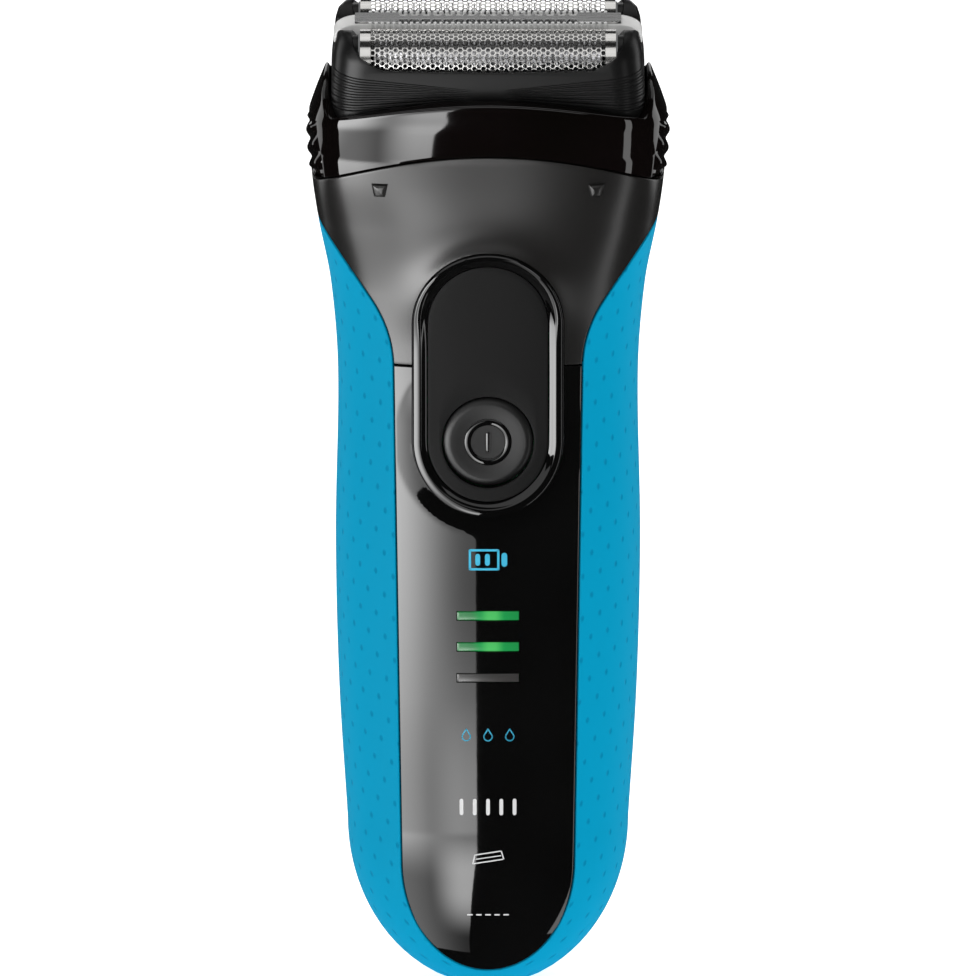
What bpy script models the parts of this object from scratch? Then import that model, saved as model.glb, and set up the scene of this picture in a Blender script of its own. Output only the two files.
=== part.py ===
"""Three-element foil shaver, upright on its charging end.

Metres, +Z up, the front faces -Y. The origin is the middle of the flat base. The head is
drawn in its own frame, an empty tilted forwards: there X runs along the foils, Y from the
front foil to the rear one, and Z is the way the shaving cassette lifts off.
"""

import math

import bmesh
import bpy
from mathutils import Matrix

MM = 0.001

# Clearances
GAP = 0.3 * MM                       # between pieces that sit side by side
SEAM = 0.3 * MM                      # parting line between two outer skins
RUNNING_GAP = 0.4 * MM               # between a moving piece and the fixed one around it

# Handle skin: one closed form, cut into panels
WALL = 2.0 * MM
BASE_CURVE_TOP = 27.0 * MM           # where the rounded foot runs out
BASE_CURVE_RADIUS = 28.1 * MM        # radius of the foot, seen from the front
BASE_DEPTH_POWER = 0.6               # the foot stays deep while it gets narrow
WAIST_HEIGHT = 103.0 * MM
NECK_LENGTH = 38.9 * MM              # from the waist to the collar's seam
GRIP_SQUARENESS = 2.4
HEAD_SQUARENESS = 3.4
HEAD_TILT = math.radians(10.5)
HEAD_RISE = 3.8 * MM                 # head frame's origin above the collar's seam
HEAD_SETBACK = -1.0 * MM

# Shaving cassette, in the head frame
CASSETTE_HALF_LENGTH = 25.9 * MM
CASSETTE_HALF_DEPTH = 13.0 * MM
CASSETTE_CORNER = 6.5 * MM
CASSETTE_FLOOR = 0.4 * MM
CASSETTE_LIP = 13.0 * MM             # top edge of the front and back walls
CASSETTE_TOP = 18.0 * MM             # top of the two ears
CASSETTE_SIDE_WALL = 3.7 * MM
CASSETTE_LONG_WALL = 0.8 * MM
INNER_CORNER = 1.5 * MM
EAR_INNER_CORNER = 18.4 * MM         # where the lip starts to rise to an ear

# Collar around the cassette
POCKET_GAP = 0.3 * MM
WING_THICKNESS = 3.5 * MM
COLLAR_SEAM_RADIUS = 67.0 * MM
COLLAR_LIP_HEIGHT = 8.4 * MM         # above the head frame's origin
COLLAR_LIP_RADIUS = 90.0 * MM
WING_ARCH_HEIGHT = 9.3 * MM
WING_ARCH_RADIUS = 17.0 * MM
DECK_TOP = -0.5 * MM
DECK_THICKNESS = 2.0 * MM
DECK_MARGIN = 0.6 * MM               # deck inside the pocket's outline

# Front and back panels
PANEL_FOOT_CENTRE = 22.0 * MM
PANEL_FOOT_DROP = 19.1 * MM
PANEL_FOOT_HALF_WIDTH = 14.4 * MM
PANEL_TOP_HALF_WIDTH = 15.7 * MM
PANEL_SEAM_ABOVE_WAIST = 3.1 * MM
SHOULDER_START_ABOVE_WAIST = 2.5 * MM
SHOULDER_RADIUS = 19.8 * MM
SHOULDER_BELOW_SEAM = 3.44 * MM      # at the head's side

# Switch
SWITCH_RADIUS = 12.5 * MM
SWITCH_RIM = 2.6 * MM
SWITCH_LOW_CENTRE = -9.5 * MM        # from the waist
SWITCH_HIGH_CENTRE = 10.1 * MM       # from the waist
BEZEL_PROUD = 0.5 * MM
BEZEL_DEPTH = 1.8 * MM
PAD_PROUD = 0.1 * MM
PAD_DEPTH = 1.6 * MM
BUTTON_RADIUS = 7.4 * MM
BUTTON_SINK = 0.4 * MM
BUTTON_THICKNESS = 1.4 * MM
BUTTON_STEM_RADIUS = 2.0 * MM
BUTTON_TRAVEL = 0.8 * MM

# Charge lights, three bars below the switch
LIGHT_HALF_WIDTH = 5.1 * MM
LIGHT_HEIGHT = 1.4 * MM
LIGHT_DROP = 16.7 * MM               # first bar below the switch
LIGHT_PITCH = 5.25 * MM
LIGHT_SINK = 0.1 * MM

# Inside the handle
CHASSIS_FRONT = -7.6 * MM
CHASSIS_THICKNESS = 1.5 * MM
CHASSIS_HALF_WIDTH = 13.0 * MM
CHASSIS_FOOT = 12.0 * MM
CHASSIS_FOOT_SHELF = 12.0 * MM       # how far each shelf reaches back from the plate
CHASSIS_MID_SHELF = 15.0 * MM
CHASSIS_MOTOR_SHELF = 18.0 * MM
CHASSIS_BELOW_COLLAR = 15.0 * MM     # chassis top below the collar's seam
BOARD_THICKNESS = 1.2 * MM
BOARD_STANDOFF = 0.8 * MM
BOARD_HALF_WIDTH = 12.0 * MM
BOARD_FOOT = 22.0 * MM
BOARD_ABOVE_WAIST = 8.0 * MM
BOARD_SCREW_LOW = 8.0 * MM           # screws from the board's ends
BOARD_SCREW_HIGH = 6.0 * MM
KEY_SIZE = 6.0 * MM
KEY_HEIGHT = 1.3 * MM
BATTERY_DIAMETER = 14.5 * MM
BATTERY_LENGTH = 50.0 * MM
BATTERY_SPACING = 0.7 * MM
CONTACT_THICKNESS = 0.5 * MM
MOTOR_DIAMETER = 20.0 * MM
MOTOR_LENGTH = 28.0 * MM
MOTOR_TOP_ABOVE_WAIST = 1.0 * MM
MOTOR_CAN_WALL = 0.8 * MM
SHELF_ABOVE_MOTOR = 2.0 * MM
ARMATURE_MARGIN = 3.0 * MM           # armature below the can's top
SHAFT_RADIUS = 1.0 * MM
ARMATURE_GAP = 1.7 * MM              # armature inside the can
SCREW_RADIUS = 0.8 * MM
SCREW_HEAD_RADIUS = 1.6 * MM
SCREW_HEAD_HEIGHT = 1.1 * MM

# Drive: a crank pin swings a bridge, whose pin drives every cutter
OSCILLATION = 1.2 * MM
CRANK_CLEARANCE = 1.0 * MM           # crank above the motor's shelf
CRANK_DISC_RADIUS = 3.5 * MM
MOTOR_SCREW_GAP = 0.9 * MM          # between the crank and the motor screws
CRANK_DISC_HEIGHT = 2.5 * MM
CRANK_PIN_RADIUS = 1.0 * MM
CRANK_PIN_LENGTH = 4.0 * MM
BRIDGE_HALF_WIDTH = 7.5 * MM
BRIDGE_HALF_DEPTH = 5.8 * MM
BRIDGE_ROOF = 0.8 * MM
BRIDGE_POST_HALF = 3.0 * MM
DRIVE_PIN_RADIUS = 1.5 * MM
DRIVE_PIN_FOOT = -12.0 * MM          # heights in the head frame
DRIVE_PIN_TOP = 4.6 * MM
BELLOWS_RIM = 4.6 * MM
BELLOWS_TOP = 1.0 * MM

# Foils, cutters and the middle trimmer, in the head frame
FOIL_CENTRE = 7.25 * MM
FOIL_RADIUS = 4.6 * MM
FOIL_THICKNESS = 0.35 * MM
FOIL_TOP = 18.0 * MM
FOIL_FOOT = 11.0 * MM
FOIL_END_GAP = 0.7 * MM              # foil end to the cassette's side wall
FOIL_FRAME_HEIGHT = 1.2 * MM
FOIL_FRAME_WALL = 0.65 * MM
FOIL_FRAME_END = 0.7 * MM
CUTTER_RADIUS = 3.6 * MM
CUTTER_WALL = 1.0 * MM
CUTTER_BOSS = 1.1 * MM
CARRIER_FLOOR = 3.0 * MM
CARRIER_THICKNESS = 1.9 * MM
CARRIER_HALF_LENGTH = 4.0 * MM
CASSETTE_BASE_THICKNESS = 1.2 * MM
BASE_OPENING_HALF_LENGTH = 9.0 * MM
BASE_OPENING_HALF_WIDTH = 6.0 * MM
BASE_OPENING_CORNER = 3.0 * MM
TRIMMER_SLOT_HALF = 3.2 * MM         # slot in each ear for the middle trimmer
TRIMMER_SLOT_FLOOR = 12.5 * MM
TRIMMER_STEM_HALF = 2.3 * MM
TRIMMER_RAIL_HALF = 2.8 * MM
TRIMMER_RAIL_HEIGHT = 0.8 * MM
TRIMMER_TOP = 17.2 * MM
TRIMMER_FOOT = 9.5 * MM
TRIMMER_TRAVEL = 1.0 * MM
TRIMMER_SHOULDER = -0.4 * MM         # shoulder's end from the cassette's end
TRIMMER_POCKET_HALF = 1.9 * MM
TRIMMER_POCKET_FLOOR = 15.7 * MM
MIDDLE_COMB_HALF = 2.1 * MM
MIDDLE_COMB_THICKNESS = 0.4 * MM
MIDDLE_BLADE_HALF = 1.5 * MM
MIDDLE_BLADE_THICKNESS = 0.8 * MM
MIDDLE_BLADE_INSET = 3.5 * MM        # blade shorter than the holder's stem, each end
BLADE_STEM_HALF = 1.2 * MM

# Release buttons in the collar's sides
RELEASE_HALF_WIDTH = 5.2 * MM
RELEASE_LOW = -4.6 * MM              # from the collar's seam
RELEASE_HIGH = 4.7 * MM              # from the collar's seam
RELEASE_THICKNESS = 1.9 * MM
RELEASE_RIB_PROUD = 0.4 * MM
RELEASE_RIB_HEIGHT = 1.3 * MM
RELEASE_RIB_PITCH = 2.95 * MM
RELEASE_RIBS = 3

# Pop-up trimmer on the back
REAR_HALF_WIDTH = 12.5 * MM
REAR_CHANNEL_FLOOR = 14.6 * MM
REAR_FOOT = 9.0 * MM                 # from the waist
REAR_TOP = -1.3 * MM                 # from the collar's seam
REAR_PROUD = 0.8 * MM                # carriage above the handle's back
REAR_CORNER = 3.0 * MM
REAR_THUMB_HALF_WIDTH = 5.5 * MM
REAR_THUMB_HEIGHT = 10.0 * MM
REAR_THUMB_PROUD = 1.5 * MM
REAR_THUMB_MARGIN = 5.0 * MM         # thumb piece above the carriage's foot
REAR_COMB_HALF_WIDTH = 11.8 * MM
REAR_COMB_HEIGHT = 8.3 * MM
REAR_COMB_THICKNESS = 0.8 * MM
REAR_BLADE_THICKNESS = 0.5 * MM
REAR_TEETH = 12
TOOTH_DEPTH = 2.0 * MM

# Charging inlet in the base
INLET_HALF_LENGTH = 5.3 * MM
INLET_HALF_WIDTH = 4.2 * MM
INLET_WALL = 1.2 * MM
INLET_DEPTH = 8.0 * MM
INLET_FLANGE = 0.8 * MM
INLET_SEAL_THICKNESS = 1.2 * MM
INLET_FLANGE_THICKNESS = 1.2 * MM
INLET_FLOOR_THICKNESS = 1.6 * MM
PIN_RADIUS = 0.8 * MM
PIN_PITCH = 4.0 * MM
PIN_PROUD = 3.0 * MM

# Springs
SPRING_WIRE = 0.22 * MM
SPRING_TURNS = 4
SPRING_POINTS_PER_TURN = 8
CUTTER_SPRING_RADIUS = 1.5 * MM
RELEASE_SPRING_RADIUS = 1.4 * MM
RELEASE_SPRING_LENGTH = 4.2 * MM
RELEASE_SPRING_DROP = 2.0 * MM       # spring's axis below the collar's seam
SPRING_SEAT_HALF = 2.0 * MM
SPRING_SEAT_THICKNESS = 1.5 * MM

# Places worked out from the sizes above
COLLAR_SEAM = WAIST_HEIGHT + NECK_LENGTH
HEAD_HEIGHT = COLLAR_SEAM + HEAD_RISE
LEAN_START = COLLAR_SEAM - 0.9 * MM
POCKET_HALF_LENGTH = CASSETTE_HALF_LENGTH + POCKET_GAP
POCKET_HALF_DEPTH = CASSETTE_HALF_DEPTH + POCKET_GAP
HEAD_HALF_WIDTH = POCKET_HALF_LENGTH + WING_THICKNESS
PANEL_SEAM = WAIST_HEIGHT + PANEL_SEAM_ABOVE_WAIST
SWITCH_LOW = WAIST_HEIGHT + SWITCH_LOW_CENTRE
SWITCH_HIGH = WAIST_HEIGHT + SWITCH_HIGH_CENTRE
CHASSIS_BACK = CHASSIS_FRONT + CHASSIS_THICKNESS
BOARD_BACK = CHASSIS_FRONT - BOARD_STANDOFF
BOARD_FRONT = BOARD_BACK - BOARD_THICKNESS
BATTERY_X = (BATTERY_DIAMETER + BATTERY_SPACING) / 2
BATTERY_Y = CHASSIS_BACK + 2 * GAP + BATTERY_DIAMETER / 2
BATTERY_FOOT = CHASSIS_FOOT + CHASSIS_THICKNESS + 2 * GAP + CONTACT_THICKNESS
BATTERY_TOP = BATTERY_FOOT + BATTERY_LENGTH
MOTOR_Y = CHASSIS_BACK + RUNNING_GAP + MOTOR_DIAMETER / 2
MOTOR_TOP = WAIST_HEIGHT + MOTOR_TOP_ABOVE_WAIST
MOTOR_SHELF = MOTOR_TOP + SHELF_ABOVE_MOTOR
CRANK_FOOT = MOTOR_SHELF + CHASSIS_THICKNESS + CRANK_CLEARANCE
CRANK_TOP = CRANK_FOOT + CRANK_DISC_HEIGHT
CASSETTE_INNER_LENGTH = CASSETTE_HALF_LENGTH - CASSETTE_SIDE_WALL
CASSETTE_INNER_DEPTH = CASSETTE_HALF_DEPTH - CASSETTE_LONG_WALL
FOIL_HALF_LENGTH = CASSETTE_INNER_LENGTH - FOIL_END_GAP
FOIL_ARCH_CENTRE = FOIL_TOP - FOIL_RADIUS
CUTTER_HALF_LENGTH = FOIL_HALF_LENGTH - FOIL_FRAME_END - OSCILLATION - 2 * GAP
REAR_Y = REAR_CHANNEL_FLOOR + GAP
REAR_COMB_FOOT = COLLAR_SEAM + REAR_TOP + GAP

# Handle sections: height, half width, front depth, back depth, squareness
SECTIONS = (
    (BASE_CURVE_TOP, 23.3 * MM, 15.0 * MM, 15.5 * MM, GRIP_SQUARENESS),
    (50.0 * MM, 24.7 * MM, 15.6 * MM, 16.8 * MM, GRIP_SQUARENESS),
    (75.0 * MM, 25.25 * MM, 15.6 * MM, 17.3 * MM, GRIP_SQUARENESS),
    (WAIST_HEIGHT, 24.85 * MM, 14.8 * MM, 16.6 * MM, GRIP_SQUARENESS),
    (WAIST_HEIGHT + 15.0 * MM, HEAD_HALF_WIDTH - 3.7 * MM, 14.9 * MM, 16.0 * MM, 2.6),
    (WAIST_HEIGHT + 26.0 * MM, HEAD_HALF_WIDTH - 1.6 * MM, 15.8 * MM, 15.8 * MM, 3.0),
    (WAIST_HEIGHT + 34.0 * MM, HEAD_HALF_WIDTH - 0.5 * MM, 16.6 * MM, 15.8 * MM, HEAD_SQUARENESS),
    (COLLAR_SEAM + 4.1 * MM, HEAD_HALF_WIDTH, 17.2 * MM, 15.8 * MM, HEAD_SQUARENESS),
    (COLLAR_SEAM + 7.1 * MM, HEAD_HALF_WIDTH - 0.8 * MM, 17.1 * MM, 15.7 * MM, HEAD_SQUARENESS),
    (COLLAR_SEAM + 10.1 * MM, HEAD_HALF_WIDTH - 1.9 * MM, 16.9 * MM, 15.4 * MM, HEAD_SQUARENESS),
    (COLLAR_SEAM + 13.4 * MM, HEAD_HALF_WIDTH - 3.2 * MM, 16.4 * MM, 14.9 * MM, HEAD_SQUARENESS),
)

# Outside of the cassette: height, and how far its sides and its long faces come in
CASSETTE_LEVELS = (
    (CASSETTE_FLOOR, 0.0, 0.0),
    (CASSETTE_LIP - 5.0 * MM, 0.0, 0.0),
    (CASSETTE_LIP - 1.0 * MM, 0.4 * MM, 0.2 * MM),
    (CASSETTE_LIP, 0.5 * MM, 0.35 * MM),
    (CASSETTE_LIP + 1.8 * MM, 0.7 * MM, 0.9 * MM),
    (CASSETTE_TOP - 1.6 * MM, 1.2 * MM, 1.9 * MM),
    (CASSETTE_TOP - 0.5 * MM, 2.2 * MM, 3.2 * MM),
    (CASSETTE_TOP, 3.2 * MM, 4.4 * MM),
)

# Resolution of the round shapes
RING_POINTS = 40
CAVITY_POINTS = 28
ROUND_SEGMENTS = 24
SMALL_SEGMENTS = 12
ARC_STEPS = 10

BEYOND = 60.0 * MM                   # how far a cutter reaches past what it cuts

# Finish: base colour, roughness, metallic
FINISHES = {
    "soft_grip": ((0.02, 0.42, 0.68), 0.55, 0.0),
    "gloss_black": ((0.010, 0.010, 0.011), 0.08, 0.0),
    "satin_black": ((0.045, 0.045, 0.047), 0.38, 0.0),
    "rubber_black": ((0.03, 0.03, 0.03), 0.7, 0.0),
    "green_light": ((0.35, 0.85, 0.25), 0.3, 0.0),
    "grey_light": ((0.25, 0.25, 0.25), 0.3, 0.0),
    "white_plastic": ((0.80, 0.80, 0.79), 0.4, 0.0),
    "grey_plastic": ((0.30, 0.31, 0.32), 0.5, 0.0),
    "steel": ((0.62, 0.62, 0.63), 0.25, 1.0),
    "blade_steel": ((0.50, 0.51, 0.53), 0.32, 1.0),
    "brass": ((0.70, 0.55, 0.28), 0.3, 1.0),
    "circuit_green": ((0.02, 0.20, 0.09), 0.45, 0.0),
    "cell_wrap": ((0.05, 0.18, 0.10), 0.35, 0.0),
}

parts = None
cutters = None


# --- Scene and material helpers -------------------------------------------------------

def clear_scene():
    """Remove every object and make the two collections."""
    global parts, cutters
    for obj in list(bpy.data.objects):
        bpy.data.objects.remove(obj, do_unlink=True)
    parts = bpy.data.collections.new("foil_shaver")
    cutters = bpy.data.collections.new("construction")
    for collection in (parts, cutters):
        bpy.context.scene.collection.children.link(collection)


def finish_material(finish):
    """The Principled material of one finish, made once."""
    material = bpy.data.materials.get(finish)
    if material:
        return material
    colour, roughness, metallic = FINISHES[finish]
    material = bpy.data.materials.new(finish)
    material.use_nodes = True
    shader = material.node_tree.nodes["Principled BSDF"]
    shader.inputs["Base Color"].default_value = (*colour, 1.0)
    shader.inputs["Roughness"].default_value = roughness
    shader.inputs["Metallic"].default_value = metallic
    return material


def place(name, data, finish, parent, location=(0.0, 0.0, 0.0)):
    """Link an object as a part, or as a cutter when it has no finish."""
    obj = bpy.data.objects.new(name, data)
    obj.location = location
    obj.parent = parent
    if finish:
        parts.objects.link(obj)
        data.materials.append(finish_material(finish))
    else:
        cutters.objects.link(obj)
        obj.hide_render = True
        obj.display_type = "WIRE"
    return obj


def mesh_object(name, bm, finish=None, parent=None, location=(0.0, 0.0, 0.0), smooth=False):
    """Turn a bmesh into an object with its faces pointing out."""
    bmesh.ops.recalc_face_normals(bm, faces=bm.faces)
    mesh = bpy.data.meshes.new(name)
    bm.to_mesh(mesh)
    bm.free()
    if smooth:
        mesh.shade_smooth()
        mesh.set_sharp_from_angle(angle=math.radians(35.0))
    return place(name, mesh, finish, parent, location)


def boolean(obj, other, operation="DIFFERENCE"):
    """Add a Boolean modifier and hand the object back."""
    modifier = obj.modifiers.new(other.name, "BOOLEAN")
    modifier.operation = operation
    modifier.solver = "EXACT"
    modifier.object = other
    return obj


# --- Shapes ---------------------------------------------------------------------------

def box(name, low, high, finish=None, parent=None):
    """A block between two corners."""
    bm = bmesh.new()
    bmesh.ops.create_cube(bm, size=1.0)
    size = [b - a for a, b in zip(low, high)]
    middle = [(a + b) / 2 for a, b in zip(low, high)]
    bmesh.ops.scale(bm, vec=size, verts=bm.verts)
    return mesh_object(name, bm, finish, parent, middle)


def cylinder(name, radius, low, high, centre, axis="Z", finish=None, parent=None,
             segments=ROUND_SEGMENTS):
    """A round bar along one axis; centre holds the other two coordinates."""
    bm = bmesh.new()
    bmesh.ops.create_cone(bm, cap_ends=True, segments=segments, radius1=radius, radius2=radius,
                          depth=high - low)
    along = (low + high) / 2
    if axis == "Z":
        location = (centre[0], centre[1], along)
    else:
        turn = Matrix.Rotation(math.radians(90.0), 3, "Y" if axis == "X" else "X")
        bmesh.ops.rotate(bm, matrix=turn, verts=bm.verts)
        location = (centre[0], along, centre[1]) if axis == "Y" else (along, centre[0], centre[1])
    return mesh_object(name, bm, finish, parent, location, smooth=True)


def prism(name, outline, low, high, axis, finish=None, parent=None):
    """A flat outline pushed along an axis, from low to high."""
    to_space = {
        "X": lambda u, v: (low, u, v),
        "Y": lambda u, v: (u, low, v),
        "Z": lambda u, v: (u, v, low),
    }[axis]
    push = [high - low if letter == axis else 0.0 for letter in "XYZ"]
    bm = bmesh.new()
    face = bm.faces.new([bm.verts.new(to_space(u, v)) for u, v in outline])
    swept = bmesh.ops.extrude_face_region(bm, geom=[face])
    moved = [item for item in swept["geom"] if isinstance(item, bmesh.types.BMVert)]
    bmesh.ops.translate(bm, vec=push, verts=moved)
    return mesh_object(name, bm, finish, parent)


def loft(name, rings, finish=None, parent=None):
    """A closed skin through rings that have the same number of points."""
    bm = bmesh.new()
    loops = [[bm.verts.new(point) for point in ring] for ring in rings]
    count = len(rings[0])
    for lower, upper in zip(loops, loops[1:]):
        for i in range(count):
            j = (i + 1) % count
            bm.faces.new((lower[i], lower[j], upper[j], upper[i]))
    bm.faces.new(loops[0])
    bm.faces.new(loops[-1])
    return mesh_object(name, bm, finish, parent, smooth=True)


def turned(name, profile, location, finish, steps=ROUND_SEGMENTS):
    """A turned solid about Z: radius and height pairs, from the top down."""
    mesh = bpy.data.meshes.new(name)
    points = [(radius, 0.0, height) for radius, height in profile]
    mesh.from_pydata(points, [(i, i + 1) for i in range(len(points) - 1)], [])
    obj = place(name, mesh, finish, None, location)
    screw = obj.modifiers.new("turn", "SCREW")
    screw.steps = steps
    screw.render_steps = steps
    screw.use_merge_vertices = True
    screw.merge_threshold = 0.01 * MM
    return obj


def spring(name, radius, start, direction, length, parent=None):
    """An open compression spring from start, along X or Z."""
    curve = bpy.data.curves.new(name, "CURVE")
    curve.dimensions = "3D"
    curve.bevel_depth = SPRING_WIRE
    curve.bevel_resolution = 1
    curve.use_fill_caps = True
    count = SPRING_TURNS * SPRING_POINTS_PER_TURN + 1
    spline = curve.splines.new("POLY")
    spline.points.add(count - 1)
    for i, point in enumerate(spline.points):
        angle = math.tau * i / SPRING_POINTS_PER_TURN
        along = length * i / (count - 1)
        across = (radius * math.cos(angle), radius * math.sin(angle))
        place_at = (along, *across) if direction == "X" else (*across, along)
        point.co = (*place_at, 1.0)
    return place(name, curve, "steel", parent, start)


# --- Outlines -------------------------------------------------------------------------

def rounded_rectangle(half_length, half_width, corner, steps=4):
    """Outline of a rectangle with round corners, about the origin."""
    corner = min(corner, half_length, half_width)
    outline = []
    for quarter, (side_u, side_v) in enumerate(((1, 1), (-1, 1), (-1, -1), (1, -1))):
        for i in range(steps + 1):
            angle = math.radians(90.0) * (quarter + i / steps)
            outline.append((side_u * (half_length - corner) + corner * math.cos(angle),
                            side_v * (half_width - corner) + corner * math.sin(angle)))
    return outline


def stadium(radius, low_centre, high_centre, steps=ARC_STEPS):
    """Upright stadium outline: two half circles joined by straight sides."""
    outline = []
    for centre, start in ((high_centre, 0.0), (low_centre, 180.0)):
        for i in range(steps + 1):
            angle = math.radians(start + 180.0 * i / steps)
            outline.append((radius * math.cos(angle), centre + radius * math.sin(angle)))
    return outline


def panel_edge(inset):
    """Right-hand edge of the panels, from the foot up to the shoulder line's start."""
    edge = []
    for i in range(ARC_STEPS + 1):
        angle = math.radians(90.0) * i / ARC_STEPS
        edge.append(((PANEL_FOOT_HALF_WIDTH - inset) * math.sin(angle),
                     PANEL_FOOT_CENTRE - (PANEL_FOOT_DROP - inset) * math.cos(angle)))
    edge.append((PANEL_TOP_HALF_WIDTH - inset, PANEL_SEAM - SEAM / 2))
    return edge


def shoulder_turn():
    """Angle off upright at which the shoulder line runs out to just under the collar's seam."""
    across = PANEL_TOP_HALF_WIDTH + SHOULDER_RADIUS - HEAD_HALF_WIDTH
    up = (seam_height(HEAD_HALF_WIDTH) - SHOULDER_BELOW_SEAM
          - WAIST_HEIGHT - SHOULDER_START_ABOVE_WAIST)
    return math.atan2(up, across) - math.acos(SHOULDER_RADIUS / math.hypot(across, up))


def shoulder_edge(inset, reach):
    """Right-hand edge of the upper housing, from the panel seam out to a distance."""
    start = WAIST_HEIGHT + SHOULDER_START_ABOVE_WAIST
    turn = shoulder_turn()
    radius = SHOULDER_RADIUS + inset
    centre = PANEL_TOP_HALF_WIDTH + SHOULDER_RADIUS
    edge = []
    for i in range(1, ARC_STEPS + 1):
        angle = turn * i / ARC_STEPS
        point = (centre - radius * math.cos(angle), start + radius * math.sin(angle))
        if point[1] > PANEL_SEAM + SEAM:
            edge.append(point)
    last_x, last_z = edge[-1]
    edge.append((reach, last_z + (reach - last_x) / math.tan(turn)))
    return edge


def mirrored(edge):
    """Close a right-hand edge with its mirror image."""
    left = [(-x, z) for x, z in reversed(edge) if abs(x) > 0.001 * MM]
    return list(edge) + left


def seam_height(x):
    """Height of the collar's seam at a distance from the middle."""
    return COLLAR_SEAM - COLLAR_SEAM_RADIUS + math.sqrt(COLLAR_SEAM_RADIUS ** 2 - x ** 2)


def seam_arc(reach, shift):
    """The collar's seam from +reach to -reach, shifted up or down."""
    steps = 2 * ARC_STEPS
    xs = [reach - 2 * reach * i / steps for i in range(steps + 1)]
    return [(x, seam_height(x) + shift) for x in xs]


def teeth_outline(half_width, foot, height, teeth):
    """A plate with saw teeth along its top edge, in the XZ plane."""
    pitch = 2 * half_width / teeth
    top = foot + height
    outline = [(half_width, foot), (half_width, top - TOOTH_DEPTH)]
    for i in range(teeth):
        right = half_width - i * pitch
        outline.append((right - 0.25 * pitch, top))
        outline.append((right - 0.55 * pitch, top))
        outline.append((right - 0.80 * pitch, top - TOOTH_DEPTH))
    outline.append((-half_width, top - TOOTH_DEPTH))
    outline.append((-half_width, foot))
    return outline


# --- Handle form ----------------------------------------------------------------------

def section_at(height):
    """Half width, front depth, back depth and squareness at a height."""
    if height <= SECTIONS[0][0]:
        return SECTIONS[0][1:]
    last = len(SECTIONS) - 1
    if height >= SECTIONS[last][0]:
        return SECTIONS[last][1:]
    index = max(i for i in range(last) if SECTIONS[i][0] <= height)
    before, start = SECTIONS[max(index - 1, 0)], SECTIONS[index]
    end, after = SECTIONS[index + 1], SECTIONS[min(index + 2, last)]
    step = end[0] - start[0]
    t = (height - start[0]) / step
    values = []
    for k in range(1, 5):
        slope_in = (end[k] - before[k]) / (end[0] - before[0]) * step
        slope_out = (after[k] - start[k]) / (after[0] - start[0]) * step
        values.append((2 * t ** 3 - 3 * t ** 2 + 1) * start[k]
                      + (t ** 3 - 2 * t ** 2 + t) * slope_in
                      + (3 * t ** 2 - 2 * t ** 3) * end[k]
                      + (t ** 3 - t ** 2) * slope_out)
    return tuple(values)


def front_face(height):
    """Y of the handle's front at the middle, at a height below the head."""
    return -section_at(height)[1]


def ring(height, inset, count):
    """One level of the handle's skin, moved in by an inset."""
    half_width, front, back, squareness = section_at(height)
    shrink = 1.0
    if height < BASE_CURVE_TOP:
        drop = (BASE_CURVE_TOP - height) / (BASE_CURVE_RADIUS - inset)
        shrink = math.sqrt(max(0.0, 1.0 - drop ** 2))
    lean = -math.tan(HEAD_TILT) * max(0.0, height - LEAN_START)
    points = []
    for i in range(count):
        angle = math.tau * i / count
        c, s = math.cos(angle), math.sin(angle)
        depth = (back if s > 0 else front) - inset
        x = (half_width - inset) * shrink * math.copysign(abs(c) ** (2 / squareness), c)
        y = depth * shrink ** BASE_DEPTH_POWER * math.copysign(abs(s) ** (2 / squareness), s)
        points.append((x, y + lean, height))
    return points


def skin_levels(inset, foot_steps, grip_steps, neck_steps, collar_steps):
    """Heights of the rings, closest together where the form bends."""
    start = math.asin((BASE_CURVE_TOP - max(inset, 0.0)) / (BASE_CURVE_RADIUS - inset))
    levels = [BASE_CURVE_TOP - (BASE_CURVE_RADIUS - inset) * math.sin(start * (1 - i / foot_steps))
              for i in range(foot_steps)]
    spans = ((BASE_CURVE_TOP, WAIST_HEIGHT, grip_steps), (WAIST_HEIGHT, COLLAR_SEAM, neck_steps))
    for low, high, steps in spans:
        levels += [low + (high - low) * i / steps for i in range(steps)]
    top = SECTIONS[-1][0]
    levels += [COLLAR_SEAM + (top - COLLAR_SEAM) * i / collar_steps for i in range(collar_steps + 1)]
    return levels


def skin_block(name, inset, low, high, steps):
    """A solid slice of the handle, its skin moved in by an inset."""
    heights = [low + (high - low) * i / steps for i in range(steps + 1)]
    return loft(name, [ring(height, inset, RING_POINTS) for height in heights])


def handle_solid(name, finish):
    """The whole outer form, which each skin piece is cut from."""
    rings = [ring(height, 0.0, RING_POINTS) for height in skin_levels(0.0, 7, 6, 8, 5)]
    return loft(name, rings, finish)


# --- Handle skins ---------------------------------------------------------------------

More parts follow.
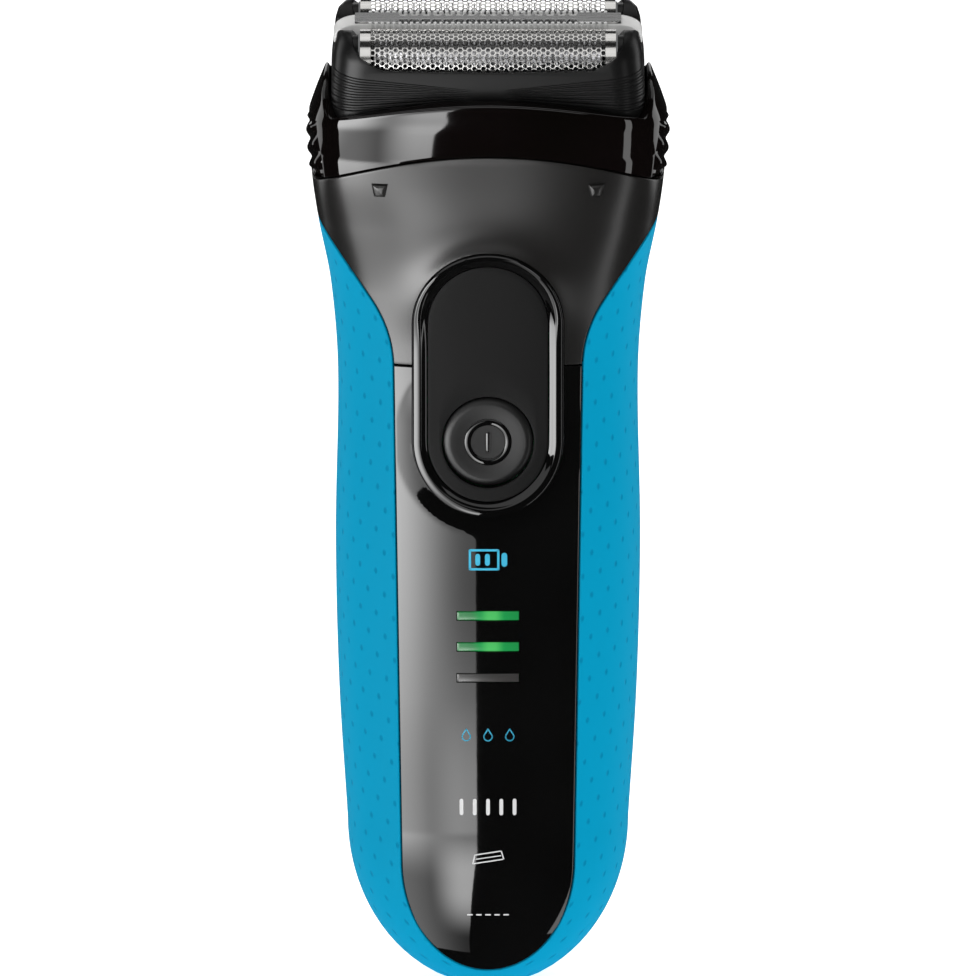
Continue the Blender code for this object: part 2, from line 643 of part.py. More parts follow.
def build_skins():
    """Grip jacket, front panel, back cover and upper housing."""
    levels = skin_levels(WALL, 6, 4, 5, 3)
    cavity = loft("cavity", [ring(height, WALL, CAVITY_POINTS) for height in levels])
    reach = HEAD_HALF_WIDTH + 4.0 * MM
    top = COLLAR_SEAM + BEYOND
    jacket_edge = panel_edge(-SEAM / 2) + shoulder_edge(-SEAM / 2, reach) + [(reach, top)]
    panels_and_head = prism("panels_and_head", mirrored(jacket_edge), -BEYOND, BEYOND, "Y")

    jacket = boolean(handle_solid("grip_jacket", "soft_grip"), cavity)
    boolean(jacket, panels_and_head)
    inlet_hole = prism("inlet_hole", rounded_rectangle(INLET_HALF_LENGTH + GAP, INLET_HALF_WIDTH + GAP,
                                                       INLET_HALF_WIDTH + GAP),
                       -BEYOND, 2 * WALL, "Z")
    boolean(jacket, inlet_hole)

    edge = panel_edge(SEAM / 2)
    switch_hole = prism("switch_hole", stadium(SWITCH_RADIUS + GAP, SWITCH_LOW, SWITCH_HIGH),
                        -BEYOND, -WALL, "Y")
    front = boolean(handle_solid("front_panel", "gloss_black"), cavity)
    boolean(front, prism("front_panel_outline", mirrored(edge), -BEYOND, 0.0, "Y"), "INTERSECT")
    boolean(front, switch_hole)
    for index in range(3):
        low, high = light_bar(index, GAP)
        boolean(front, box(f"light_hole_{index}", (low[0], -BEYOND, low[2]), (high[0], 0.0, high[2])))

    back = boolean(handle_solid("back_cover", "satin_black"), cavity)
    boolean(back, prism("back_cover_outline", mirrored(edge), 0.0, BEYOND, "Y"), "INTERSECT")

    housing_side = shoulder_edge(SEAM / 2, HEAD_HALF_WIDTH + SHOULDER_BELOW_SEAM / 3)
    foot = PANEL_SEAM + SEAM / 2
    right = [(PANEL_TOP_HALF_WIDTH - SEAM / 2, foot)] + housing_side
    left = [(-x, z) for x, z in reversed(right)]
    outline = right + seam_arc(housing_side[-1][0], -SEAM / 2) + left
    housing = boolean(handle_solid("upper_housing", "satin_black"), cavity)
    boolean(housing, prism("housing_outline", outline, -BEYOND, BEYOND, "Y"), "INTERSECT")
    boolean(housing, switch_hole)
    channel = box("rear_channel",
                  (-REAR_HALF_WIDTH - GAP, REAR_CHANNEL_FLOOR, WAIST_HEIGHT + REAR_FOOT - GAP),
                  (REAR_HALF_WIDTH + GAP, BEYOND, COLLAR_SEAM + BEYOND))
    boolean(housing, channel)
    return cavity, channel


def build_collar(cavity, channel, head):
    """Collar round the cassette, its deck and the two release windows."""
    reach = HEAD_HALF_WIDTH + 4.0 * MM
    top = COLLAR_SEAM + BEYOND
    outline = seam_arc(reach, SEAM / 2) + [(-reach, top), (reach, top)]
    collar = boolean(handle_solid("head_collar", "gloss_black"),
                     prism("collar_outline", outline, -BEYOND, BEYOND, "Y"), "INTERSECT")

    below_deck = box("below_deck", (-BEYOND, -BEYOND, -BEYOND), (BEYOND, BEYOND, DECK_TOP + GAP / 2),
                     parent=head)
    collar_cavity = place("collar_cavity", cavity.data, None, None)
    boolean(collar, boolean(collar_cavity, below_deck, "INTERSECT"))
    pocket = prism("cassette_pocket",
                   rounded_rectangle(POCKET_HALF_LENGTH, POCKET_HALF_DEPTH, CASSETTE_CORNER + POCKET_GAP),
                   DECK_TOP - DECK_THICKNESS, BEYOND, "Z", parent=head)
    boolean(collar, pocket)

    lip_half = POCKET_HALF_LENGTH - GAP / 2
    lip = [(x, COLLAR_LIP_HEIGHT - COLLAR_LIP_RADIUS + math.sqrt(COLLAR_LIP_RADIUS ** 2 - x ** 2))
           for x in [lip_half * (1 - i / ARC_STEPS) for i in range(2 * ARC_STEPS + 1)]]
    lip_cut = lip + [(-lip_half, BEYOND), (lip_half, BEYOND)]
    boolean(collar, prism("lip_cut", lip_cut, -BEYOND, BEYOND, "Y", parent=head))
    arch = []
    for i in range(2 * ARC_STEPS + 1):
        angle = math.radians(150.0 * (i / (2 * ARC_STEPS)) - 75.0)
        arch.append((WING_ARCH_RADIUS * math.sin(angle),
                     WING_ARCH_HEIGHT - WING_ARCH_RADIUS * (1 - math.cos(angle))))
    wing_cut = [(-BEYOND, arch[0][1])] + arch + [(BEYOND, arch[-1][1]), (BEYOND, BEYOND), (-BEYOND, BEYOND)]
    for side in (-1, 1):
        low, high = sorted((side * (POCKET_HALF_LENGTH - GAP), side * BEYOND))
        boolean(collar, prism(f"wing_cut_{side}", wing_cut, low, high, "X", parent=head))
    boolean(collar, channel)
    window_low, window_high = release_span(GAP)
    boolean(collar, box("release_windows", (-BEYOND, window_low[0], window_low[1]),
                        (BEYOND, window_high[0], window_high[1])))

    deck_outline = rounded_rectangle(POCKET_HALF_LENGTH - DECK_MARGIN, POCKET_HALF_DEPTH - DECK_MARGIN,
                                     CASSETTE_CORNER)
    deck = prism("head_deck", deck_outline, DECK_TOP - DECK_THICKNESS, DECK_TOP, "Z", "satin_black", head)
    slot = DRIVE_PIN_RADIUS + OSCILLATION + RUNNING_GAP
    boolean(deck, prism("deck_pin_slot", rounded_rectangle(slot, DRIVE_PIN_RADIUS + RUNNING_GAP, slot),
                        -BEYOND, BEYOND, "Z", parent=head))
    return deck


# --- Switch and lights ----------------------------------------------------------------

def build_switch():
    """Switch bezel and pad, following the handle's front, and the round power button."""
    low = SWITCH_LOW - SWITCH_RADIUS - 3 * MM
    high = SWITCH_HIGH + SWITCH_RADIUS + 3 * MM
    inner_radius = SWITCH_RADIUS - SWITCH_RIM
    pieces = (("switch_bezel", "gloss_black", SWITCH_RADIUS, BEZEL_PROUD, BEZEL_DEPTH),
              ("switch_pad", "satin_black", inner_radius, PAD_PROUD, PAD_DEPTH))
    made = []
    for name, finish, radius, proud, depth in pieces:
        piece = prism(name, stadium(radius, SWITCH_LOW, SWITCH_HIGH), -BEYOND, -WALL, "Y", finish)
        boolean(piece, skin_block(f"{name}_face", -proud, low, high, 5), "INTERSECT")
        boolean(piece, skin_block(f"{name}_back", depth, low, high, 4))
        made.append(piece)
    bezel, pad = made
    boolean(bezel, prism("bezel_window", stadium(inner_radius + GAP, SWITCH_LOW, SWITCH_HIGH),
                         -BEYOND, 0.0, "Y"))
    boolean(pad, cylinder("button_hole", BUTTON_RADIUS + GAP, -BEYOND, 0.0, (0.0, SWITCH_LOW), "Y"))

    face = front_face(SWITCH_LOW) + BUTTON_SINK
    button = cylinder("power_button", BUTTON_RADIUS, face, face + BUTTON_THICKNESS,
                      (0.0, SWITCH_LOW), "Y", "satin_black")
    key_top = BOARD_FRONT - GAP - KEY_HEIGHT
    stem_end = key_top - BUTTON_TRAVEL - GAP
    stem = cylinder("button_stem", BUTTON_STEM_RADIUS, face + BUTTON_THICKNESS / 2, stem_end,
                    (0.0, SWITCH_LOW), "Y", segments=SMALL_SEGMENTS)
    boolean(button, stem, "UNION")
    box("key_switch", (-KEY_SIZE / 2, key_top, SWITCH_LOW - KEY_SIZE / 2),
        (KEY_SIZE / 2, BOARD_FRONT - GAP, SWITCH_LOW + KEY_SIZE / 2), "grey_plastic")


def light_bar(index, margin):
    """Corners of one charge light, grown by a margin."""
    middle = SWITCH_LOW - SWITCH_RADIUS - LIGHT_DROP - index * LIGHT_PITCH
    half = LIGHT_HEIGHT / 2 + margin
    return ((-LIGHT_HALF_WIDTH - margin, front_face(middle) + LIGHT_SINK, middle - half),
            (LIGHT_HALF_WIDTH + margin, BOARD_FRONT - GAP, middle + half))


def build_lights():
    """Three light guides from the circuit board to the front panel."""
    for index, (name, finish) in enumerate((("light_guide_upper", "green_light"),
                                            ("light_guide_middle", "green_light"),
                                            ("light_guide_lower", "grey_light"))):
        low, high = light_bar(index, 0.0)
        box(name, low, high, finish)


# --- Inside the handle ----------------------------------------------------------------

def screw(name, tip, head_start, centre, axis):
    """A small screw: its shank runs from tip to head_start, the head beyond it."""
    away = 1.0 if head_start > tip else -1.0
    head_end = head_start + away * SCREW_HEAD_HEIGHT
    low, high = sorted((head_start, head_end))
    head = cylinder(name, SCREW_HEAD_RADIUS, low, high, centre, axis, "steel", segments=SMALL_SEGMENTS)
    low, high = sorted((tip, head_start + away * SCREW_HEAD_HEIGHT / 2))
    shank = cylinder(f"{name}_shank", SCREW_RADIUS, low, high, centre, axis, segments=SMALL_SEGMENTS)
    return boolean(head, shank, "UNION")


def build_chassis():
    """Moulded chassis: a plate with three shelves, the circuit board and their screws."""
    mid_shelf = BATTERY_TOP + 2 * GAP + CONTACT_THICKNESS
    shelves = ((CHASSIS_FOOT, CHASSIS_FOOT_SHELF), (mid_shelf, CHASSIS_MID_SHELF),
               (MOTOR_SHELF, CHASSIS_MOTOR_SHELF))
    top = COLLAR_SEAM - CHASSIS_BELOW_COLLAR
    outline = [(CHASSIS_FRONT, CHASSIS_FOOT)]
    for height, reach in shelves:
        outline += [(CHASSIS_BACK, height), (CHASSIS_BACK + reach, height),
                    (CHASSIS_BACK + reach, height + CHASSIS_THICKNESS),
                    (CHASSIS_BACK, height + CHASSIS_THICKNESS)]
    del outline[1]
    outline += [(CHASSIS_BACK, top), (CHASSIS_FRONT, top)]
    chassis = prism("chassis", outline, -CHASSIS_HALF_WIDTH, CHASSIS_HALF_WIDTH, "X", "grey_plastic")

    hole = SCREW_RADIUS + GAP
    boolean(chassis, cylinder("shaft_hole", SHAFT_RADIUS + RUNNING_GAP, MOTOR_SHELF - GAP, CRANK_FOOT,
                              (0.0, MOTOR_Y), segments=SMALL_SEGMENTS))
    board_top = WAIST_HEIGHT + BOARD_ABOVE_WAIST
    board = box("main_board", (-BOARD_HALF_WIDTH, BOARD_FRONT, BOARD_FOOT),
                (BOARD_HALF_WIDTH, BOARD_BACK, board_top), "circuit_green")
    for name, z in (("board_screw_lower", BOARD_FOOT + BOARD_SCREW_LOW),
                    ("board_screw_upper", board_top - BOARD_SCREW_HIGH)):
        hole_cut = cylinder(f"{name}_hole", hole, BOARD_FRONT - GAP, CHASSIS_BACK + GAP, (0.0, z), "Y",
                            segments=SMALL_SEGMENTS)
        boolean(chassis, hole_cut)
        boolean(board, hole_cut)
        screw(name, CHASSIS_BACK, BOARD_FRONT - GAP, (0.0, z), "Y")
    for name, side in (("motor_screw_left", -1), ("motor_screw_right", 1)):
        centre = (side * (CRANK_DISC_RADIUS + SCREW_HEAD_RADIUS + MOTOR_SCREW_GAP), MOTOR_Y)
        boolean(chassis, cylinder(f"{name}_hole", hole, MOTOR_SHELF - GAP, CRANK_FOOT, centre,
                                  segments=SMALL_SEGMENTS))
        screw(name, MOTOR_TOP + GAP, MOTOR_SHELF + CHASSIS_THICKNESS + GAP, centre, "Z")


def build_batteries():
    """Two cells side by side, the strip that joins them and a contact on each."""
    radius = BATTERY_DIAMETER / 2
    for name, side in (("left", -1), ("right", 1)):
        x = side * BATTERY_X
        cylinder(f"battery_{name}", radius, BATTERY_FOOT, BATTERY_TOP, (x, BATTERY_Y), "Z", "cell_wrap")
        half = radius / 2
        box(f"battery_contact_{name}", (x - half, BATTERY_Y - half, BATTERY_TOP + GAP),
            (x + half, BATTERY_Y + half, BATTERY_TOP + GAP + CONTACT_THICKNESS), "brass")
    half = radius / 3
    low = CHASSIS_FOOT + CHASSIS_THICKNESS + GAP
    box("battery_link", (-BATTERY_X - half, BATTERY_Y - half, low),
        (BATTERY_X + half, BATTERY_Y + half, low + CONTACT_THICKNESS), "brass")


def build_motor():
    """Motor can, rotor and the crank on its shaft."""
    axis = (0.0, MOTOR_Y, 0.0)
    outer, inner = MOTOR_DIAMETER / 2, MOTOR_DIAMETER / 2 - MOTOR_CAN_WALL
    bore = SHAFT_RADIUS + RUNNING_GAP
    foot = MOTOR_TOP - MOTOR_LENGTH
    turned("motor_can", [(bore, MOTOR_TOP), (outer, MOTOR_TOP), (outer, foot), (0.0, foot),
                         (0.0, foot + MOTOR_CAN_WALL), (inner, foot + MOTOR_CAN_WALL),
                         (inner, MOTOR_TOP - MOTOR_CAN_WALL), (bore, MOTOR_TOP - MOTOR_CAN_WALL),
                         (bore, MOTOR_TOP)], axis, "steel")
    shaft_top = CRANK_FOOT - GAP
    armature_top = MOTOR_TOP - ARMATURE_MARGIN
    armature_foot = foot + ARMATURE_MARGIN + MOTOR_CAN_WALL
    armature = inner - ARMATURE_GAP
    shaft_foot = foot + MOTOR_CAN_WALL + GAP
    turned("motor_rotor", [(0.0, shaft_top), (SHAFT_RADIUS, shaft_top), (SHAFT_RADIUS, armature_top),
                           (armature, armature_top), (armature, armature_foot),
                           (SHAFT_RADIUS, armature_foot), (SHAFT_RADIUS, shaft_foot),
                           (0.0, shaft_foot)], axis, "blade_steel", steps=16)
    crank = cylinder("drive_crank", CRANK_DISC_RADIUS, CRANK_FOOT, CRANK_TOP, (0.0, MOTOR_Y), "Z",
                     "white_plastic", segments=20)
    pin = cylinder("crank_pin", CRANK_PIN_RADIUS, CRANK_FOOT + CRANK_DISC_HEIGHT / 2,
                   CRANK_TOP + CRANK_PIN_LENGTH, (0.0, MOTOR_Y + OSCILLATION), segments=SMALL_SEGMENTS)
    boolean(crank, pin, "UNION")


def build_bridge(head):
    """Swinging bridge over the crank, and the pin that it carries up into the head."""
    low = CRANK_TOP + GAP
    high = CRANK_TOP + CRANK_PIN_LENGTH + GAP + BRIDGE_ROOF
    bridge = box("drive_bridge", (-BRIDGE_HALF_WIDTH, MOTOR_Y - BRIDGE_HALF_DEPTH, low),
                 (BRIDGE_HALF_WIDTH, MOTOR_Y + BRIDGE_HALF_DEPTH, high), "white_plastic")
    foot_y = HEAD_SETBACK - DRIVE_PIN_FOOT * math.sin(HEAD_TILT)
    foot_z = HEAD_HEIGHT + DRIVE_PIN_FOOT * math.cos(HEAD_TILT)
    post = box("bridge_post", (-BRIDGE_POST_HALF, foot_y - BRIDGE_POST_HALF, high - 1 * MM),
               (BRIDGE_POST_HALF, foot_y + BRIDGE_POST_HALF, foot_z - 1 * MM))
    boolean(bridge, post, "UNION")
    reach_x = CRANK_PIN_RADIUS + 2 * OSCILLATION + RUNNING_GAP
    reach_y = CRANK_PIN_RADIUS + OSCILLATION + RUNNING_GAP
    boolean(bridge, box("crank_slot", (-reach_x, MOTOR_Y - reach_y, low - GAP),
                        (reach_x, MOTOR_Y + reach_y, CRANK_TOP + CRANK_PIN_LENGTH + GAP)))
    cylinder("drive_pin", DRIVE_PIN_RADIUS, DRIVE_PIN_FOOT, DRIVE_PIN_TOP, (0.0, 0.0), "Z", "steel",
             head, segments=16)
    seal = cylinder("bellows_seal", BELLOWS_RIM, DECK_TOP + GAP, BELLOWS_TOP, (0.0, 0.0), "Z",
                    "rubber_black", head, segments=20)
    slot = DRIVE_PIN_RADIUS + OSCILLATION + RUNNING_GAP
    boolean(seal, cylinder("bellows_hole", slot, -BEYOND, BEYOND, (0.0, 0.0), parent=head, segments=20))


def build_inlet():
    """Charging inlet in the base, its seal and two pins."""
    outer = (INLET_HALF_LENGTH, INLET_HALF_WIDTH)
    inner = [half - INLET_WALL for half in outer]
    flange = [half + INLET_FLANGE for half in outer]
    ceiling = INLET_DEPTH + INLET_FLOOR_THICKNESS
    seal_low = WALL + GAP
    seal_high = seal_low + INLET_SEAL_THICKNESS
    body = prism("charging_inlet", rounded_rectangle(*outer, outer[1]), 0.0, ceiling, "Z", "rubber_black")
    collar = prism("inlet_flange", rounded_rectangle(*flange, flange[1]), seal_high + GAP,
                   seal_high + GAP + INLET_FLANGE_THICKNESS, "Z")
    boolean(body, collar, "UNION")
    boolean(body, prism("inlet_recess", rounded_rectangle(*inner, inner[1]), -BEYOND, INLET_DEPTH, "Z"))
    seal = prism("inlet_seal", rounded_rectangle(*flange, flange[1]), seal_low, seal_high, "Z",
                 "rubber_black")
    hole = [half + GAP for half in outer]
    boolean(seal, prism("inlet_seal_hole", rounded_rectangle(*hole, hole[1]), -BEYOND, BEYOND, "Z"))
    for name, side in (("left", -1), ("right", 1)):
        centre = (side * PIN_PITCH / 2, 0.0)
        boolean(body, cylinder(f"pin_hole_{name}", PIN_RADIUS + GAP, 0.0, BEYOND, centre,
                               segments=SMALL_SEGMENTS))
        cylinder(f"charging_pin_{name}", PIN_RADIUS, INLET_DEPTH - PIN_PROUD, ceiling + 1 * MM, centre,
                 "Z", "brass", segments=SMALL_SEGMENTS)


# --- Head -----------------------------------------------------------------------------

def release_span(margin):
    """Corners in Y and Z of a release button, grown by a margin."""
    middle = HEAD_SETBACK
    return ((middle - RELEASE_HALF_WIDTH - margin, COLLAR_SEAM + RELEASE_LOW - margin),
            (middle + RELEASE_HALF_WIDTH + margin, COLLAR_SEAM + RELEASE_HIGH + margin))


def build_release(deck, head):
    """A ribbed release button in each side of the collar, with its spring and spring seat."""
    low, high = release_span(0.0)
    outer = HEAD_HALF_WIDTH
    inner = outer - RELEASE_THICKNESS
    middle_z = (low[1] + high[1]) / 2
    seat_x = inner - GAP - RELEASE_SPRING_LENGTH
    for name, side in (("left", -1), ("right", 1)):
        x_low, x_high = sorted((side * inner, side * outer))
        button = box(f"release_button_{name}", (x_low, low[0], low[1]), (x_high, high[0], high[1]),
                     "satin_black")
        for index in range(RELEASE_RIBS):
            z = middle_z + (index - (RELEASE_RIBS - 1) / 2) * RELEASE_RIB_PITCH
            ribs = sorted((side * (outer - RELEASE_RIB_PROUD), side * (outer + RELEASE_RIB_PROUD)))
            rib = box(f"release_rib_{name}_{index}",
                      (ribs[0], low[0] + GAP, z - RELEASE_RIB_HEIGHT / 2),
                      (ribs[1], high[0] - GAP, z + RELEASE_RIB_HEIGHT / 2))
            boolean(button, rib, "UNION")
        spring_z = COLLAR_SEAM - RELEASE_SPRING_DROP
        start = side * (inner - GAP - SPRING_WIRE)
        reach = RELEASE_SPRING_LENGTH - SPRING_WIRE
        spring(f"release_spring_{name}", RELEASE_SPRING_RADIUS,
               (min(start, start - side * reach), HEAD_SETBACK, spring_z), "X", reach)
        seat_low, seat_high = sorted((side * (seat_x - GAP - SPRING_SEAT_THICKNESS), side * (seat_x - GAP)))
        seat = box(f"spring_seat_{name}",
                   (seat_low, HEAD_SETBACK - SPRING_SEAT_HALF, spring_z - SPRING_SEAT_HALF),
                   (seat_high, HEAD_SETBACK + SPRING_SEAT_HALF, HEAD_HEIGHT - DECK_THICKNESS / 2 + DECK_TOP))
        boolean(deck, seat, "UNION")


def build_cassette(head):
    """Cassette frame with its window, and the open base plate inside it."""
    rings = []
    for height, side_inset, long_inset in CASSETTE_LEVELS:
        outline = rounded_rectangle(CASSETTE_HALF_LENGTH - side_inset, CASSETTE_HALF_DEPTH - long_inset,
                                    CASSETTE_CORNER, steps=5)
        rings.append([(x, y, height) for x, y in outline])
    frame = loft("cassette_frame", rings, "satin_black", head)
    inner = rounded_rectangle(CASSETTE_INNER_LENGTH, CASSETTE_INNER_DEPTH, INNER_CORNER)
    boolean(frame, prism("cassette_inside", inner, -BEYOND, BEYOND, "Z", parent=head))
    rise = CASSETTE_TOP - CASSETTE_LIP
    run = CASSETTE_INNER_LENGTH - EAR_INNER_CORNER
    corner = []
    for i in range(ARC_STEPS):
        share = i / ARC_STEPS
        corner.append((EAR_INNER_CORNER + run * (1 - (1 - share) ** 1.8), CASSETTE_LIP + rise * share))
    window = corner + [(CASSETTE_INNER_LENGTH, BEYOND)]
    boolean(frame, prism("cassette_window", mirrored(window), -BEYOND, BEYOND, "Y", parent=head))
    boolean(frame, box("trimmer_slot", (-BEYOND, -TRIMMER_SLOT_HALF, TRIMMER_SLOT_FLOOR),
                       (BEYOND, TRIMMER_SLOT_HALF, BEYOND), parent=head))

    low = CASSETTE_FLOOR + 0.1 * MM
    base_outline = rounded_rectangle(CASSETTE_INNER_LENGTH - GAP, CASSETTE_INNER_DEPTH - GAP, INNER_CORNER)
    base = prism("cassette_base", base_outline, low, low + CASSETTE_BASE_THICKNESS, "Z", "grey_plastic", head)
    base_opening = rounded_rectangle(BASE_OPENING_HALF_LENGTH, BASE_OPENING_HALF_WIDTH, BASE_OPENING_CORNER)
    boolean(base, prism("base_opening", base_opening, -BEYOND, BEYOND, "Z", parent=head))


def arch_outline(centre, radius, foot):
    """Outline of an arch in the YZ plane: a half circle on two straight legs."""
    outline = []
    for i in range(ARC_STEPS + 5):
        angle = math.pi * i / (ARC_STEPS + 4)
        outline.append((centre + radius * math.cos(angle), FOIL_ARCH_CENTRE + radius * math.sin(angle)))
    return outline + [(centre - radius, foot), (centre + radius, foot)]


def build_foils(head):
    """Each shaving foil with its frame, its cutter and the cutter's spring."""
    for name, side in (("front", -1), ("rear", 1)):
        centre = side * FOIL_CENTRE
        inner_radius = FOIL_RADIUS - FOIL_THICKNESS
        foil = prism(f"foil_{name}", arch_outline(centre, FOIL_RADIUS, FOIL_FOOT),
                     -FOIL_HALF_LENGTH, FOIL_HALF_LENGTH, "X", "steel", head)
        boolean(foil, prism(f"foil_inside_{name}", arch_outline(centre, inner_radius, FOIL_FOOT - 1 * MM),
                            -BEYOND, BEYOND, "X", parent=head))

        frame_top = FOIL_FOOT - GAP
        frame_low = frame_top - FOIL_FRAME_HEIGHT
        half_length = FOIL_HALF_LENGTH + FOIL_END_GAP / 2
        rim = [(x, y + centre) for x, y in rounded_rectangle(half_length, FOIL_RADIUS, INNER_CORNER)]
        frame = prism(f"foil_frame_{name}", rim, frame_low, frame_top, "Z", "grey_plastic", head)
        half_hole = FOIL_HALF_LENGTH - FOIL_FRAME_END
        inside = FOIL_RADIUS - FOIL_FRAME_WALL
        ends = prism(f"foil_ends_{name}", arch_outline(centre, inner_radius - RUNNING_GAP, frame_low + GAP),
                     -FOIL_HALF_LENGTH + 0.1 * MM, FOIL_HALF_LENGTH - 0.1 * MM, "X", parent=head)
        boolean(frame, ends, "UNION")
        boolean(frame, box(f"foil_frame_hole_{name}", (-half_hole, centre - inside, -BEYOND),
                           (half_hole, centre + inside, BEYOND), parent=head))

        foot = frame_low + 0.5 * MM
        cutter = prism(f"cutter_{name}", arch_outline(centre, CUTTER_RADIUS, foot),
                       -CUTTER_HALF_LENGTH, CUTTER_HALF_LENGTH, "X", "blade_steel", head)
        boolean(cutter, prism(f"cutter_inside_{name}",
                              arch_outline(centre, CUTTER_RADIUS - CUTTER_WALL, foot + CUTTER_WALL),
                              -BEYOND, BEYOND, "X", parent=head))
        boss = cylinder(f"cutter_boss_{name}", CUTTER_SPRING_RADIUS + 2 * SPRING_WIRE, foot - CUTTER_BOSS,
                        foot + CUTTER_WALL / 2, (0.0, centre), "Z", parent=head, segments=SMALL_SEGMENTS)
        boolean(cutter, boss, "UNION")

        spring_foot = CARRIER_FLOOR + CARRIER_THICKNESS + GAP + SPRING_WIRE
        spring_top = foot - CUTTER_BOSS - GAP - SPRING_WIRE
        spring(f"cutter_spring_{name}", CUTTER_SPRING_RADIUS, (0.0, centre, spring_foot), "Z",
               spring_top - spring_foot, head)


def build_carrier(head):
    """Carrier beam that the drive pin moves, with a seat under each cutter's spring."""
    half_depth = FOIL_CENTRE + CUTTER_SPRING_RADIUS + 3 * SPRING_WIRE
    carrier = prism("cutter_carrier", rounded_rectangle(CARRIER_HALF_LENGTH, half_depth, 2.0 * MM),
                    CARRIER_FLOOR, CARRIER_FLOOR + CARRIER_THICKNESS, "Z", "white_plastic", head)
    boolean(carrier, cylinder("carrier_hole", DRIVE_PIN_RADIUS + GAP, 0.0, BEYOND, (0.0, 0.0),
                              parent=head, segments=16))


def build_middle_trimmer(head):
    """Middle trimmer: white holder, fixed comb and moving blade."""
    end = CASSETTE_HALF_LENGTH + TRIMMER_SHOULDER
    stem = CASSETTE_INNER_LENGTH - 3 * GAP
    underside = TRIMMER_SLOT_FLOOR + TRIMMER_TRAVEL + 0.5 * MM
    drop = TRIMMER_TOP - underside - 0.8 * MM
    edge = [(stem, TRIMMER_FOOT), (stem, underside), (end, underside)]
    for i in range(7):
        angle = math.radians(90.0) * i / 6
        edge.append((end - (end - stem) * (1 - math.cos(angle)),
                     TRIMMER_TOP - drop * (1 - math.sin(angle))))
    holder = prism("trimmer_holder", mirrored(edge), -TRIMMER_STEM_HALF, TRIMMER_STEM_HALF, "Y",
                   "white_plastic", head)
    rail = box("trimmer_rails", (-stem + 2 * MM, -TRIMMER_RAIL_HALF, TRIMMER_TOP - TRIMMER_RAIL_HEIGHT),
               (stem - 2 * MM, TRIMMER_RAIL_HALF, TRIMMER_TOP), parent=head)
    boolean(holder, rail, "UNION")
    blade_half = stem - MIDDLE_BLADE_INSET
    pocket = blade_half + OSCILLATION + RUNNING_GAP
    boolean(holder, box("trimmer_pocket", (-pocket, -TRIMMER_POCKET_HALF, TRIMMER_POCKET_FLOOR),
                        (pocket, TRIMMER_POCKET_HALF, BEYOND), parent=head))
    slot = BLADE_STEM_HALF + OSCILLATION + RUNNING_GAP
    boolean(holder, box("blade_stem_slot", (-slot, -0.6 * TRIMMER_POCKET_HALF, 0.0),
                        (slot, 0.6 * TRIMMER_POCKET_HALF, BEYOND), parent=head))

    comb_low = TRIMMER_TOP + 0.25 * MM
    box("middle_trimmer_comb", (-stem, -MIDDLE_COMB_HALF, comb_low),
        (stem, MIDDLE_COMB_HALF, comb_low + MIDDLE_COMB_THICKNESS), "steel", head)
    blade_low = TRIMMER_POCKET_FLOOR + RUNNING_GAP
    blade = box("middle_trimmer_blade", (-blade_half, -MIDDLE_BLADE_HALF, blade_low),
                (blade_half, MIDDLE_BLADE_HALF, blade_low + MIDDLE_BLADE_THICKNESS), "blade_steel", head)
    stem_low = CARRIER_FLOOR + CARRIER_THICKNESS + TRIMMER_TRAVEL + RUNNING_GAP
    boolean(blade, box("blade_stem", (-BLADE_STEM_HALF, -0.35 * TRIMMER_POCKET_HALF, stem_low),
                       (BLADE_STEM_HALF, 0.35 * TRIMMER_POCKET_HALF, blade_low + MIDDLE_BLADE_THICKNESS / 2),
                       parent=head), "UNION")


def build_rear_trimmer():
    """Pop-up trimmer on the back: carriage, thumb piece, comb and moving blade."""
    foot = WAIST_HEIGHT + REAR_FOOT
    top = COLLAR_SEAM + REAR_TOP
    middle = (foot + top) / 2
    outline = [(x, z + middle)
               for x, z in rounded_rectangle(REAR_HALF_WIDTH, (top - foot) / 2, REAR_CORNER)]
    carriage = prism("rear_trimmer_carriage", outline, REAR_Y, BEYOND, "Y", "satin_black")
    boolean(carriage, skin_block("carriage_back", -REAR_PROUD, foot - WALL, top + WALL, 5), "INTERSECT")
    thumb_low = foot + REAR_THUMB_MARGIN
    thumb_face = section_at(thumb_low)[2] + REAR_PROUD + GAP
    box("rear_trimmer_thumb", (-REAR_THUMB_HALF_WIDTH, thumb_face, thumb_low),
        (REAR_THUMB_HALF_WIDTH, thumb_face + REAR_THUMB_PROUD, thumb_low + REAR_THUMB_HEIGHT),
        "rubber_black")
    comb_back = REAR_Y + REAR_COMB_THICKNESS
    prism("rear_trimmer_comb",
          teeth_outline(REAR_COMB_HALF_WIDTH, REAR_COMB_FOOT, REAR_COMB_HEIGHT, REAR_TEETH),
          REAR_Y, comb_back, "Y", "steel")
    blade_front = comb_back + GAP
    prism("rear_trimmer_blade",
          teeth_outline(REAR_COMB_HALF_WIDTH - OSCILLATION, REAR_COMB_FOOT + 1 * MM,
                        REAR_COMB_HEIGHT - 1.5 * MM, REAR_TEETH - 1),
          blade_front, blade_front + REAR_BLADE_THICKNESS, "Y", "blade_steel")


def head_frame():
    """The empty that tilts everything on the head forwards."""
    head = bpy.data.objects.new("head_frame", None)
    head.location = (0.0, HEAD_SETBACK, HEAD_HEIGHT)
    head.rotation_euler = (HEAD_TILT, 0.0, 0.0)
    cutters.objects.link(head)
    return head


def main():
    clear_scene()
    head = head_frame()
    cavity, channel = build_skins()
    deck = build_collar(cavity, channel, head)
    build_switch()
    build_lights()
    build_chassis()
    build_batteries()
    build_motor()
    build_bridge(head)
    build_inlet()
    build_release(deck, head)
    build_cassette(head)
    build_foils(head)
    build_carrier(head)
    build_middle_trimmer(head)
    build_rear_trimmer()
    bpy.context.view_layer.update()


main()
